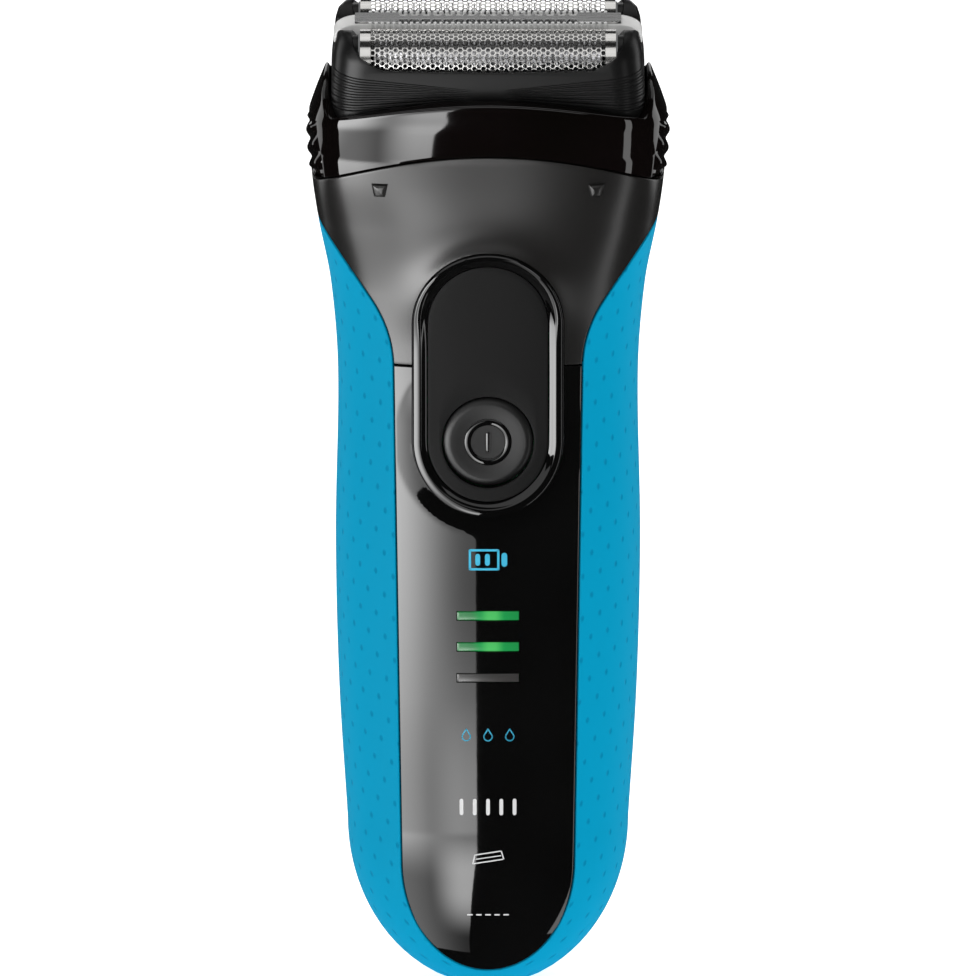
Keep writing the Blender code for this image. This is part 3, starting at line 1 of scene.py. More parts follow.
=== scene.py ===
"""Looks for a three-element foil shaver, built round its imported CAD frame.

Lengths inside the classes are millimetres in the part's own frame: +Z up, the front faces -Y.
The head leans forwards, so its pieces are drawn in head coordinates (x along the foils,
w from front to rear, h the way the cassette lifts) and turned into place by Head.
"""

from __future__ import annotations

import logging
import math
from dataclasses import dataclass
from enum import Enum
from typing import Callable, Sequence, Union

import bpy
from mathutils import Matrix, Vector

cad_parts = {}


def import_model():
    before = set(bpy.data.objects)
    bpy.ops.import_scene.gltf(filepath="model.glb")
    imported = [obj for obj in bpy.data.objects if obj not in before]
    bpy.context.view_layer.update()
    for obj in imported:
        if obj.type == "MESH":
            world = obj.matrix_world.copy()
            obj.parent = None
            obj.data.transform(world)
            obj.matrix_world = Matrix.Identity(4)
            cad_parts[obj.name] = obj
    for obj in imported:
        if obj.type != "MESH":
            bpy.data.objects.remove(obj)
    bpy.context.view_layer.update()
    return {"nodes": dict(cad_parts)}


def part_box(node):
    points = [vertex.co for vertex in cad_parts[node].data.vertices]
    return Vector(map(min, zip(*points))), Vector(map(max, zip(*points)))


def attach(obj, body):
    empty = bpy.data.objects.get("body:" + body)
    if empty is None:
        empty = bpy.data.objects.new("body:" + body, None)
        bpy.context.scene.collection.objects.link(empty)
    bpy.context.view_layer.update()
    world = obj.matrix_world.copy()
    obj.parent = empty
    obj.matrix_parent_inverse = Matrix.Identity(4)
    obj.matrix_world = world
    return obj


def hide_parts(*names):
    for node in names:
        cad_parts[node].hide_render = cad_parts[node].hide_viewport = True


LOG = logging.getLogger("foil_shaver")
MM = 0.001
Grid = list[list[Vector]]
Flat = Sequence[tuple[float, float]]
Stroke = list[tuple[Vector, Vector]]
Plug = Union[bpy.types.NodeSocket, float]


class Side(Enum):
    """Which face of the handle a panel lies on."""

    FRONT = -1
    BACK = 1


class Texture(Enum):
    """Surface treatment of a finish."""

    SATIN = "satin"
    POLISHED = "polished"
    DIMPLED = "dimpled"
    RIBBED = "ribbed"
    BRUSHED = "brushed"
    BOARD = "board"
    WRAP = "wrap"
    LIT = "lit"


# --- Bench work ------------------------------------------------------------------------

def deselect() -> None:
    """Leave edit mode and select nothing."""
    if bpy.context.object and bpy.context.object.mode != "OBJECT":
        bpy.ops.object.mode_set(mode="OBJECT")
    bpy.ops.object.select_all(action="DESELECT")


def pick(obj: bpy.types.Object) -> bpy.types.Object:
    """Make one object the only selected and active one."""
    deselect()
    obj.select_set(True)
    bpy.context.view_layer.objects.active = obj
    return obj


def bake(obj: bpy.types.Object) -> bpy.types.Object:
    """Apply every modifier of an object, in order."""
    pick(obj)
    for modifier in list(obj.modifiers):
        bpy.ops.object.modifier_apply(modifier=modifier.name)
    return obj


def settle(obj: bpy.types.Object) -> bpy.types.Object:
    """Put an object's place into its mesh, so that it sits at the origin."""
    pick(obj)
    bpy.ops.object.transform_apply(location=True, rotation=True, scale=True)
    return obj


def smooth(obj: bpy.types.Object, degrees: float = 38.0) -> bpy.types.Object:
    """Smooth shading, with edges sharper than the angle kept crisp."""
    pick(obj)
    bpy.ops.object.shade_smooth_by_angle(angle=math.radians(degrees))
    return obj


def weld(obj: bpy.types.Object, turn_out: bool = False) -> bpy.types.Object:
    """Merge doubles, and if asked point every face outwards."""
    pick(obj)
    bpy.ops.object.mode_set(mode="EDIT")
    bpy.ops.mesh.select_all(action="SELECT")
    bpy.ops.mesh.remove_doubles(threshold=0.002 * MM)
    if turn_out:
        bpy.ops.mesh.normals_make_consistent(inside=False)
    bpy.ops.object.mode_set(mode="OBJECT")
    return obj


def raw_mesh(name: str, points: Sequence[Vector], faces: Sequence[Sequence[int]]) -> bpy.types.Object:
    """Link a mesh made of millimetre points.

    Args:
        name: Name of the object and its mesh.
        points: Vertices, in millimetres.
        faces: Vertex numbers of each face.

    Returns:
        The new object.
    """
    mesh = bpy.data.meshes.new(name)
    mesh.from_pydata([tuple(point * MM) for point in points], [], faces)
    obj = bpy.data.objects.new(name, mesh)
    bpy.context.scene.collection.objects.link(obj)
    return obj


def grid_mesh(name: str, grid: Grid, closed: bool = False, looped: bool = False,
              outward: Callable[[Vector], Vector] | None = None) -> bpy.types.Object:
    """A surface through rows of points, its faces pointing outwards.

    Args:
        name: Name of the piece.
        grid: Rows of points; each row has the same number.
        closed: Join the last column to the first.
        looped: Join the last row to the first as well.
        outward: Direction away from the inside, for a point; away from the Z axis if left out.

    Returns:
        The new object.
    """
    rows, columns = len(grid), len(grid[0])
    points = [point for row in grid for point in row]
    faces = []
    for i in range(rows if looped else rows - 1):
        for j in range(columns if closed else columns - 1):
            k, n = (j + 1) % columns, (i + 1) % rows
            faces.append((i * columns + j, i * columns + k, n * columns + k, n * columns + j))
    if not looped:
        away = outward or (lambda point: Vector((point.x, point.y, 0.0)))
        score = 0.0
        for a, b, c, _ in faces[:: max(1, len(faces) // 400)]:
            normal = (points[b] - points[a]).cross(points[c] - points[a])
            score += normal.dot(away(points[a]))
        if score < 0.0:
            faces = [tuple(reversed(face)) for face in faces]
    obj = raw_mesh(name, points, faces)
    return weld(obj, True) if looped else obj


def thicken(obj: bpy.types.Object, wall: float, edge: float, segments: int = 3) -> bpy.types.Object:
    """Give a surface a wall towards its inside and roll its edges.

    Args:
        obj: The surface.
        wall: Wall thickness in millimetres.
        edge: Width of the rolled edge in millimetres.
        segments: Steps round the rolled edge.

    Returns:
        The same object, with its modifiers applied.
    """
    shell = obj.modifiers.new("wall", "SOLIDIFY")
    shell.thickness = wall * MM
    shell.offset = -1.0
    if edge:
        add_bevel(obj, edge, segments)
    return bake(obj)


def add_bevel(obj: bpy.types.Object, width: float, segments: int = 3, degrees: float = 50.0) -> None:
    """Add a Bevel modifier that rounds edges sharper than an angle."""
    bevel = obj.modifiers.new("edges", "BEVEL")
    bevel.width = width * MM
    bevel.segments = segments
    bevel.limit_method = "ANGLE"
    bevel.angle_limit = math.radians(degrees)
    bevel.use_clamp_overlap = False


def cut(obj: bpy.types.Object, tool: bpy.types.Object, operation: str = "DIFFERENCE") -> bpy.types.Object:
    """Cut an object with a tool by an applied Boolean.

    Args:
        obj: The piece.
        tool: The cutter.
        operation: DIFFERENCE, INTERSECT or UNION.

    Returns:
        The piece.
    """
    modifier = obj.modifiers.new("cut", "BOOLEAN")
    modifier.operation = operation
    modifier.solver = "EXACT"
    modifier.object = tool
    bake(obj)
    bpy.data.objects.remove(tool, do_unlink=True)
    return obj


def merge(objects: Sequence[bpy.types.Object], name: str) -> bpy.types.Object:
    """Join several objects into one of the given name."""
    deselect()
    for obj in objects:
        obj.select_set(True)
    bpy.context.view_layer.objects.active = objects[0]
    if len(objects) > 1:
        bpy.ops.object.join()
    objects[0].name = name
    objects[0].data.name = name
    return objects[0]


def copies(obj: bpy.types.Object, offsets: Sequence[Vector], name: str) -> bpy.types.Object:
    """Copy a modelled shape to each offset and join the copies; the shape itself goes.

    Args:
        obj: The shape, at its base place.
        offsets: Shift of each copy, in millimetres.
        name: Name of the joined piece.

    Returns:
        The joined piece.
    """
    made = []
    for offset in offsets:
        twin = obj.copy()
        twin.data = obj.data.copy()
        twin.data.transform(Matrix.Translation(offset * MM))
        bpy.context.scene.collection.objects.link(twin)
        made.append(twin)
    bpy.data.objects.remove(obj, do_unlink=True)
    return merge(made, name)


def block(name: str, low: Sequence[float], high: Sequence[float], edge: float = 0.0,
          segments: int = 2) -> bpy.types.Object:
    """A block between two corners, its edges rounded in edit mode.

    Args:
        name: Name of the block.
        low: Lowest corner in millimetres.
        high: Highest corner in millimetres.
        edge: Width of the edge rounding in millimetres, or 0 for none.
        segments: Steps of the rounding.

    Returns:
        The block, its place in its mesh.
    """
    deselect()
    middle = [(a + b) / 2 * MM for a, b in zip(low, high)]
    bpy.ops.mesh.primitive_cube_add(size=1.0, location=middle)
    obj = bpy.context.object
    obj.name = obj.data.name = name
    obj.scale = [(b - a) * MM for a, b in zip(low, high)]
    settle(obj)
    if edge:
        bpy.ops.object.mode_set(mode="EDIT")
        bpy.ops.mesh.select_all(action="SELECT")
        bpy.ops.mesh.bevel(offset=edge * MM, segments=segments, affect="EDGES", clamp_overlap=True)
        bpy.ops.object.mode_set(mode="OBJECT")
    return obj


def bar(name: str, radius: float, low: Sequence[float], high: Sequence[float], segments: int = 48,
        edge: float = 0.0) -> bpy.types.Object:
    """A round bar between two points, its rims rounded in edit mode.

    Args:
        name: Name of the bar.
        radius: Radius in millimetres.
        low: Centre of one end in millimetres.
        high: Centre of the other end in millimetres.
        segments: Sides of the bar.
        edge: Width of the rim rounding in millimetres, or 0 for none.

    Returns:
        The bar, its place in its mesh.
    """
    start, end = Vector(low), Vector(high)
    deselect()
    bpy.ops.mesh.primitive_cylinder_add(vertices=segments, radius=radius * MM, depth=(end - start).length * MM)
    obj = bpy.context.object
    obj.name = obj.data.name = name
    if edge:
        bpy.ops.object.mode_set(mode="EDIT")
        bpy.ops.mesh.select_mode(type="EDGE")
        bpy.ops.mesh.select_all(action="DESELECT")
        bpy.ops.object.mode_set(mode="OBJECT")
        for side in obj.data.edges:
            a, b = (obj.data.vertices[i].co for i in side.vertices)
            side.select = abs(a.z - b.z) < 1e-9
        bpy.ops.object.mode_set(mode="EDIT")
        bpy.ops.mesh.bevel(offset=edge * MM, segments=3, affect="EDGES")
        bpy.ops.object.mode_set(mode="OBJECT")
    turn = (end - start).to_track_quat("Z", "Y").to_matrix().to_4x4()
    obj.data.transform(Matrix.Translation((start + end) / 2 * MM) @ turn)
    return obj


def slab(name: str, outline: Flat, low: float, high: float,
         to_space: Callable[[float, float, float], Vector]) -> bpy.types.Object:
    """A flat outline given thickness.

    Args:
        name: Name of the piece.
        outline: Corner points in the outline's own plane.
        low: One face's place across the plane.
        high: The other face's place.
        to_space: Turns plane coordinates and the place across into a point.

    Returns:
        The closed solid.
    """
    count = len(outline)
    points = [to_space(u, v, low) for u, v in outline] + [to_space(u, v, high) for u, v in outline]
    faces: list[Sequence[int]] = [list(range(count)), list(range(2 * count - 1, count - 1, -1))]
    for i in range(count):
        j = (i + 1) % count
        faces.append((i, j, count + j, count + i))
    return weld(raw_mesh(name, points, faces), True)


def turned(name: str, profile: Flat, centre: Vector, axis: Vector, steps: int = 64) -> bpy.types.Object:
    """A turned solid, spun from a profile in edit mode.

    Args:
        name: Name of the piece.
        profile: Radius and distance along the axis, in millimetres.
        centre: Where the axis starts, in millimetres.
        axis: Direction of the axis.
        steps: Steps round the axis.

    Returns:
        The closed solid.
    """
    mesh = bpy.data.meshes.new(name)
    points = [(radius * MM, 0.0, along * MM) for radius, along in profile]
    mesh.from_pydata(points, [(i, i + 1) for i in range(len(points) - 1)], [])
    obj = bpy.data.objects.new(name, mesh)
    bpy.context.scene.collection.objects.link(obj)
    spin = obj.modifiers.new("spin", "SCREW")
    spin.steps = spin.render_steps = steps
    spin.use_merge_vertices = True
    spin.merge_threshold = 0.001 * MM
    bake(obj)
    turn = axis.to_track_quat("Z", "Y").to_matrix().to_4x4()
    obj.data.transform(Matrix.Translation(centre * MM) @ turn)
    return weld(obj, True)


def stadium(radius: float, low: float, high: float, steps: int = 40) -> list[tuple[float, float]]:
    """Upright stadium outline about two centres, anticlockwise from the right."""
    outline = []
    for centre, start in ((high, 0.0), (low, math.pi)):
        for i in range(steps + 1):
            angle = start + math.pi * i / steps
            outline.append((radius * math.cos(angle), centre + radius * math.sin(angle)))
    return outline


def rounded(half_u: float, half_v: float, corner: float, steps: int = 8) -> list[tuple[float, float]]:
    """Outline of a rectangle with round corners about the origin."""
    outline = []
    for quarter, (side_u, side_v) in enumerate(((1, 1), (-1, 1), (-1, -1), (1, -1))):
        for i in range(steps + 1):
            angle = math.radians(90.0) * (quarter + i / steps)
            outline.append((side_u * (half_u - corner) + corner * math.cos(angle),
                            side_v * (half_v - corner) + corner * math.sin(angle)))
    return outline


def eased(value: float, low: float, high: float) -> float:
    """Smooth step from 0 at low to 1 at high."""
    t = min(1.0, max(0.0, (value - low) / (high - low)))
    return t * t * (3.0 - 2.0 * t)


def resample(points: Sequence[Vector], keys: Flat, count: int) -> list[tuple[float, float]]:
    """Keys at even distances along a line of points.

    Args:
        points: The line in space.
        keys: A pair of coordinates for each point.
        count: How many pairs to return.

    Returns:
        The pairs, evenly spaced along the line.
    """
    lengths = [0.0]
    for a, b in zip(points, points[1:]):
        lengths.append(lengths[-1] + (b - a).length)
    made, k = [], 0
    for i in range(count):
        goal = lengths[-1] * i / (count - 1)
        while k < len(lengths) - 2 and lengths[k + 1] < goal:
            k += 1
        span = max(1e-9, lengths[k + 1] - lengths[k])
        t = min(1.0, max(0.0, (goal - lengths[k]) / span))
        made.append(tuple(a + (b - a) * t for a, b in zip(keys[k], keys[k + 1])))
    return made


def box_mm(node: str) -> tuple[Vector, Vector]:
    """Lowest and highest corner of a CAD node, in millimetres."""
    low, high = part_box(node)
    return low / MM, high / MM


# --- Finishes --------------------------------------------------------------------------

class Graph:
    """A small hand for wiring shader nodes."""

    def __init__(self, tree: bpy.types.NodeTree) -> None:
        """Work on one node tree."""
        self.tree = tree

    def add(self, kind: str, **settings: object) -> bpy.types.Node:
        """Add a node and set its properties."""
        node = self.tree.nodes.new(kind)
        for name, value in settings.items():
            setattr(node, name, value)
        return node

    def plug(self, socket: bpy.types.NodeSocket, value: object) -> None:
        """Link a socket to another, or set its value."""
        if isinstance(value, bpy.types.NodeSocket):
            self.tree.links.new(value, socket)
        else:
            socket.default_value = value

    def math(self, operation: str, a: Plug, b: Plug = 0.0, c: Plug = 0.0) -> bpy.types.NodeSocket:
        """A Math node's result."""
        node = self.add("ShaderNodeMath", operation=operation)
        for socket, value in zip(node.inputs, (a, b, c)):
            self.plug(socket, value)
        return node.outputs[0]

    def ramp(self, value: Plug, low: float, high: float, start: float = 0.0,
             end: float = 1.0) -> bpy.types.NodeSocket:
        """A smooth step from start at low to end at high."""
        node = self.add("ShaderNodeMapRange", interpolation_type="SMOOTHSTEP")
        for socket, item in zip(node.inputs, (value, low, high, start, end)):
            self.plug(socket, item)
        return node.outputs[0]

    def noise(self, vector: bpy.types.NodeSocket, scale: float, detail: float = 2.0) -> bpy.types.NodeSocket:
        """A noise value from 0 to 1."""
        node = self.add("ShaderNodeTexNoise")
        self.plug(node.inputs["Vector"], vector)
        node.inputs["Scale"].default_value = scale
        node.inputs["Detail"].default_value = detail
        return node.outputs[0]

    def mapped(self, vector: bpy.types.NodeSocket, **settings: Sequence[float]) -> bpy.types.NodeSocket:
        """A Mapping node's result."""
        node = self.add("ShaderNodeMapping")
        self.plug(node.inputs["Vector"], vector)
        for name, value in settings.items():
            node.inputs[name].default_value = value
        return node.outputs[0]

    def mix(self, factor: Plug, a: Sequence[float], b: Sequence[float]) -> bpy.types.NodeSocket:
        """A mix of two colours."""
        node = self.add("ShaderNodeMix", data_type="RGBA")
        self.plug(node.inputs[0], factor)
        node.inputs[6].default_value = (*a, 1.0)
        node.inputs[7].default_value = (*b, 1.0)
        return node.outputs[2]

    def split(self, vector: bpy.types.NodeSocket) -> Sequence[bpy.types.NodeSocket]:
        """X, Y and Z of a vector."""
        node = self.add("ShaderNodeSeparateXYZ")
        self.plug(node.inputs[0], vector)
        return node.outputs


def new_group(name: str, inputs: Sequence[tuple[str, str, float]],
              outputs: Sequence[str]) -> tuple[Graph, Sequence[bpy.types.NodeSocket], bpy.types.Node]:
    """Start a shader node group.

    Args:
        name: Name of the group.
        inputs: Name, socket type and default of each input; a vector has no default.
        outputs: Names of the float outputs.

    Returns:
        The group's graph, its input sockets and its output node.
    """
    tree = bpy.data.node_groups.new(name, "ShaderNodeTree")
    for label, kind, default in inputs:
        socket = tree.interface.new_socket(label, in_out="INPUT", socket_type=kind)
        if kind == "NodeSocketFloat":
            socket.default_value = default
    for label in outputs:
        tree.interface.new_socket(label, in_out="OUTPUT", socket_type="NodeSocketFloat")
    graph = Graph(tree)
    return graph, graph.add("NodeGroupInput").outputs, graph.add("NodeGroupOutput")


def grain_group() -> bpy.types.NodeTree:
    """Fine moulded grain with slow unevenness: Height and Mask."""
    found = bpy.data.node_groups.get("moulded_grain")
    if found:
        return found
    inputs = (("Vector", "NodeSocketVector", 0.0), ("Scale", "NodeSocketFloat", 4000.0))
    graph, source, sink = new_group("moulded_grain", inputs, ("Height", "Mask"))
    fine = graph.add("ShaderNodeTexNoise")
    slow = graph.add("ShaderNodeTexNoise")
    for node in (fine, slow):
        graph.plug(node.inputs["Vector"], source[0])
        node.inputs["Detail"].default_value = 0.0
    graph.plug(fine.inputs["Scale"], source[1])
    slow.inputs["Scale"].default_value = 70.0
    graph.plug(sink.inputs[0], fine.outputs[0])
    graph.plug(sink.inputs[1], graph.ramp(slow.outputs[0], 0.1, 0.9))
    return graph.tree


def dimple_group() -> bpy.types.NodeTree:
    """Staggered rows of small upright oval dimples, from coordinates in millimetres; Mask marks each dimple's inside,
    where the grip's finish paints shade.
    """
    found = bpy.data.node_groups.get("grip_dimples_and_shade")
    if found:
        return found
    inputs = (("Vector", "NodeSocketVector", 0.0), ("Across", "NodeSocketFloat", 3.2),
              ("Along", "NodeSocketFloat", 7.1), ("Slope", "NodeSocketFloat", 0.23),
              ("Half Width", "NodeSocketFloat", 0.42), ("Half Height", "NodeSocketFloat", 0.72))
    graph, source, sink = new_group("grip_dimples_and_shade", inputs, ("Height", "Mask"))
    u, v, _ = graph.split(source[0])
    v = graph.math("MULTIPLY_ADD", graph.math("ABSOLUTE", u), source[3], v)
    nearest = None
    for shift in (0.0, 0.5):
        offsets = []
        for place, pitch, half in ((u, source[1], source[4]), (v, source[2], source[5])):
            cell = graph.math("FRACT", graph.math("ADD", graph.math("DIVIDE", place, pitch), shift))
            away = graph.math("MULTIPLY", graph.math("SUBTRACT", cell, 0.5), pitch)
            offsets.append(graph.math("POWER", graph.math("ABSOLUTE", graph.math("DIVIDE", away, half)), 2.0))
        distance = graph.math("SQRT", graph.math("ADD", *offsets))
        nearest = distance if nearest is None else graph.math("MINIMUM", nearest, distance)
    graph.plug(sink.inputs[0], graph.ramp(nearest, 0.1, 1.0))
    # Mask is 1 inside a dimple: the grip's darker second blue there is painted shade.
    graph.plug(sink.inputs[1], graph.ramp(nearest, 1.0, 0.3))
    return graph.tree


def brushed_group() -> bpy.types.NodeTree:
    """Fine brushing along X: Height and Mask."""
    found = bpy.data.node_groups.get("brushing")
    if found:
        return found
    inputs = (("Vector", "NodeSocketVector", 0.0), ("Scale", "NodeSocketFloat", 2500.0))
    graph, source, sink = new_group("brushing", inputs, ("Height", "Mask"))
    stretched = graph.mapped(source[0], Scale=(0.02, 1.0, 1.0))
    fine = graph.add("ShaderNodeTexNoise")
    graph.plug(fine.inputs["Vector"], stretched)
    graph.plug(fine.inputs["Scale"], source[1])
    graph.plug(sink.inputs[0], fine.outputs[0])
    graph.plug(sink.inputs[1], graph.ramp(fine.outputs[0], 0.3, 0.7))
    return graph.tree


@dataclass(frozen=True)
class Finish:
    """One finish of the shaver, as a Principled material with its own texture."""

    name: str
    slot: str
    colour: tuple[float, float, float]
    shade: tuple[float, float, float]
    roughness: tuple[float, float]
    texture: Texture
    bump: float = 0.0
    scale: float = 4000.0
    metallic: float = 0.0
    coat: float = 0.0
    coat_roughness: float = 0.03
    sheen: float = 0.0
    ior: float = 1.5
    glow: float = 0.0

    def material(self) -> bpy.types.Material:
        """The finish's material, made once."""
        found = bpy.data.materials.get(self.name)
        if found:
            return found
        material = bpy.data.materials.new(self.name)
        material.use_nodes = True
        graph = Graph(material.node_tree)
        shader = material.node_tree.nodes["Principled BSDF"]
        shader.inputs["Metallic"].default_value = self.metallic
        shader.inputs["IOR"].default_value = self.ior
        shader.inputs["Coat Weight"].default_value = self.coat
        shader.inputs["Coat Roughness"].default_value = self.coat_roughness
        shader.inputs["Sheen Weight"].default_value = self.sheen
        coordinates = graph.add("ShaderNodeTexCoord")
        height, mask = self.pattern(graph, coordinates)
        graph.plug(shader.inputs["Base Color"], graph.mix(mask, self.colour, self.shade))
        graph.plug(shader.inputs["Roughness"], graph.ramp(mask, 0.0, 1.0, *self.roughness))
        if self.bump:
            bump = graph.add("ShaderNodeBump")
            bump.inputs["Strength"].default_value = 1.0
            bump.inputs["Distance"].default_value = self.bump * MM
            graph.plug(bump.inputs["Height"], height)
            graph.plug(shader.inputs["Normal"], bump.outputs[0])
        if self.glow:
            self.light_up(graph, coordinates.outputs["Object"], shader)
        return material

    def pattern(self, graph: Graph, coordinates: bpy.types.Node) -> Sequence[bpy.types.NodeSocket]:
        """Height and mask of the finish's texture.

        Args:
            graph: The material's graph.
            coordinates: Its Texture Coordinate node.

        Returns:
            The two sockets.
        """
        place = coordinates.outputs["Object"]
        if self.texture is Texture.DIMPLED:
            place = graph.mapped(coordinates.outputs["UV"], Scale=(100.0, 100.0, 1.0))
            return self.grouped(graph, dimple_group(), place)
        if self.texture is Texture.BRUSHED:
            return self.grouped(graph, brushed_group(), place, self.scale)
        if self.texture is Texture.RIBBED:
            return self.fanned(graph, place)
        if self.texture is Texture.BOARD:
            return self.tracks(graph, place)
        if self.texture is Texture.WRAP:
            bands = graph.math("FRACT", graph.math("MULTIPLY", graph.split(place)[2], 40.0))
            return bands, graph.ramp(bands, 0.1, 0.2)
        return self.grouped(graph, grain_group(), place, self.scale)

    def grouped(self, graph: Graph, tree: bpy.types.NodeTree, place: bpy.types.NodeSocket,
                scale: float | None = None) -> Sequence[bpy.types.NodeSocket]:
        """A node group's Height and Mask at a place."""
        node = graph.add("ShaderNodeGroup", node_tree=tree)
        graph.plug(node.inputs[0], place)
        if scale is not None:
            node.inputs[1].default_value = scale
        return node.outputs[0], node.outputs[1]

    def fanned(self, graph: Graph, place: bpy.types.NodeSocket) -> Sequence[bpy.types.NodeSocket]:
        """Fine ribs that spread from the middle of the cassette to its corners."""
        turned_place = graph.mapped(graph.mapped(place, Location=(0.0, 0.001, -0.1457)),
                                    Rotation=(-Head.tilt, 0.0, 0.0), Scale=(1000.0, 1000.0, 1000.0))
        x, w, h = graph.split(turned_place)
        out = graph.math("ABSOLUTE", x)
        behind = graph.math("MAXIMUM", graph.math("SUBTRACT", 12.0, graph.math("ABSOLUTE", w)), 0.0)
        reach = graph.math("MULTIPLY_ADD", behind, 0.15, out)
        fan = graph.math("DIVIDE", graph.math("SUBTRACT", h, 8.9), graph.math("MULTIPLY_ADD", reach, 0.105, 0.52))
        wave = graph.math("SINE", graph.math("MULTIPLY", fan, 19.0))
        inside = graph.ramp(graph.math("ABSOLUTE", fan), 1.06, 1.0)
        fade = graph.math("MULTIPLY", inside, graph.ramp(out, 2.0, 8.0))
        height = graph.math("MULTIPLY", graph.ramp(wave, -0.8, 0.8, -1.0, 0.0), fade)
        return height, fade

    def tracks(self, graph: Graph, place: bpy.types.NodeSocket) -> Sequence[bpy.types.NodeSocket]:
        """Copper tracks under a board's lacquer."""
        x, _, z = graph.split(place)
        waves = [graph.math("SINE", graph.math("MULTIPLY", item, rate)) for item, rate in ((x, 3300.0), (z, 900.0))]
        mask = graph.ramp(graph.math("MAXIMUM", *waves), 0.86, 0.92)
        return mask, mask

    def light_up(self, graph: Graph, place: bpy.types.NodeSocket, shader: bpy.types.Node) -> None:
        """Make a light guide glow, brightest right of its middle."""
        x, _, _ = graph.split(place)
        x = graph.math("MULTIPLY", x, 1000.0)
        lamp = graph.math("MULTIPLY", graph.ramp(x, -3.2, -0.6), graph.ramp(x, 4.8, 0.6, 0.55, 1.0))
        core = graph.ramp(graph.math("ABSOLUTE", graph.math("SUBTRACT", x, 0.7)), 2.2, 0.4)
        colour = graph.mix(core, (0.004, 0.33, 0.065), (0.10, 0.62, 0.14))
        shade = graph.add("ShaderNodeMix", data_type="RGBA", blend_type="MULTIPLY")
        shade.inputs[0].default_value = 1.0
        graph.plug(shade.inputs[6], colour)
        graph.plug(shade.inputs[7], graph.math("MULTIPLY_ADD", lamp, 0.75, 0.25))
        graph.plug(shader.inputs["Emission Color"], shade.outputs[2])
        shader.inputs["Emission Strength"].default_value = self.glow


# Soft grip: the darker second blue is painted shade in the dimples' hollows.
SOFT_GRIP = Finish("blue_soft_grip", "soft_grip", (0.0, 0.285, 0.485), (0.0, 0.215, 0.385), (0.6, 0.7),
                   Texture.DIMPLED, bump=0.09, ior=1.09)
GLOSS_BLACK = Finish("piano_black", "gloss_black", (0.002, 0.002, 0.002), (0.003, 0.003, 0.003), (0.03, 0.04),
                     Texture.POLISHED, bump=0.0004, scale=900.0)
COLLAR_BLACK = Finish("collar_black", "gloss_black", (0.002, 0.0015, 0.0012), (0.003, 0.002, 0.002), (0.03, 0.04),
                      Texture.POLISHED, bump=0.0004, scale=900.0)
SATIN_HOUSING = Finish("satin_housing", "satin_black", (0.010, 0.0095, 0.009), (0.010, 0.0095, 0.009), (0.27, 0.27),
                       Texture.SATIN, bump=0.0012, scale=5000.0)
SATIN_BACK = Finish("satin_back", "satin_black", (0.014, 0.014, 0.0145), (0.018, 0.018, 0.0185), (0.36, 0.42),
                    Texture.SATIN, bump=0.004, scale=5000.0)
PAD_BLACK = Finish("matt_pad", "satin_black", (0.004, 0.004, 0.004), (0.005, 0.005, 0.005), (0.60, 0.66),
                   Texture.SATIN, bump=0.003, scale=6000.0, ior=1.22)
BUTTON_BLACK = Finish("button_black", "satin_black", (0.006, 0.006, 0.006), (0.007, 0.007, 0.007), (0.33, 0.37),
                      Texture.SATIN, bump=0.0015, scale=6000.0, ior=1.38)
CASSETTE_BLACK = Finish("cassette_black", "satin_black", (0.005, 0.005, 0.005), (0.005, 0.005, 0.005), (0.34, 0.34),
                        Texture.RIBBED, bump=0.20, ior=1.3)
RUBBER_BLACK = Finish("black_rubber", "rubber_black", (0.018, 0.018, 0.018), (0.025, 0.025, 0.025), (0.62, 0.72),
                      Texture.SATIN, bump=0.006, scale=3500.0)
WHITE_PLASTIC = Finish("white_plastic_comb", "white_plastic", (0.78, 0.78, 0.77), (0.74, 0.74, 0.73), (0.28, 0.34),
                       Texture.SATIN, bump=0.0015, scale=4000.0)
GREY_PLASTIC = Finish("grey_moulding", "grey_plastic", (0.24, 0.245, 0.25), (0.28, 0.285, 0.29), (0.42, 0.5),
                      Texture.SATIN, bump=0.004, scale=4000.0)
FOIL_STEEL = Finish("foil_steel", "steel", (0.74, 0.73, 0.71), (0.66, 0.65, 0.63), (0.14, 0.20),
                    Texture.BRUSHED, bump=0.0005, metallic=1.0)
STEEL = Finish("bright_steel", "steel", (0.66, 0.66, 0.66), (0.58, 0.58, 0.58), (0.22, 0.30),
               Texture.BRUSHED, bump=0.0012, metallic=1.0)
BLADE_STEEL = Finish("ground_blade_steel", "blade_steel", (0.50, 0.50, 0.51), (0.42, 0.42, 0.43), (0.26, 0.36),
                     Texture.BRUSHED, bump=0.0015, metallic=1.0)
BRASS = Finish("plated_contact", "brass", (0.72, 0.58, 0.30), (0.62, 0.48, 0.24), (0.22, 0.32),
               Texture.BRUSHED, bump=0.001, metallic=1.0)
BOARD_GREEN = Finish("lacquered_board", "circuit_green", (0.01, 0.13, 0.05), (0.03, 0.24, 0.09), (0.30, 0.22),
                     Texture.BOARD, bump=0.02)
CELL_WRAP = Finish("cell_wrap_film", "cell_wrap", (0.30, 0.31, 0.32), (0.04, 0.16, 0.09), (0.30, 0.24),
                   Texture.WRAP, bump=0.01)
GREEN_LIGHT = Finish("green_light_guide", "green_light", (0.01, 0.12, 0.03), (0.01, 0.14, 0.04), (0.10, 0.14),
                     Texture.LIT, glow=0.62)
GREY_LIGHT = Finish("unlit_light_guide", "grey_light", (0.035, 0.034, 0.033), (0.040, 0.039, 0.038), (0.12, 0.16),
                    Texture.SATIN, bump=0.0005)
CYAN_PRINT = Finish("cyan_print", "soft_grip", (0.0, 0.40, 0.62), (0.0, 0.36, 0.57), (0.35, 0.4),
                    Texture.SATIN, bump=0.0005)
PALE_PRINT = Finish("pale_print", "white_plastic", (0.62, 0.62, 0.62), (0.58, 0.58, 0.58), (0.35, 0.4),
                    Texture.SATIN, bump=0.0005)


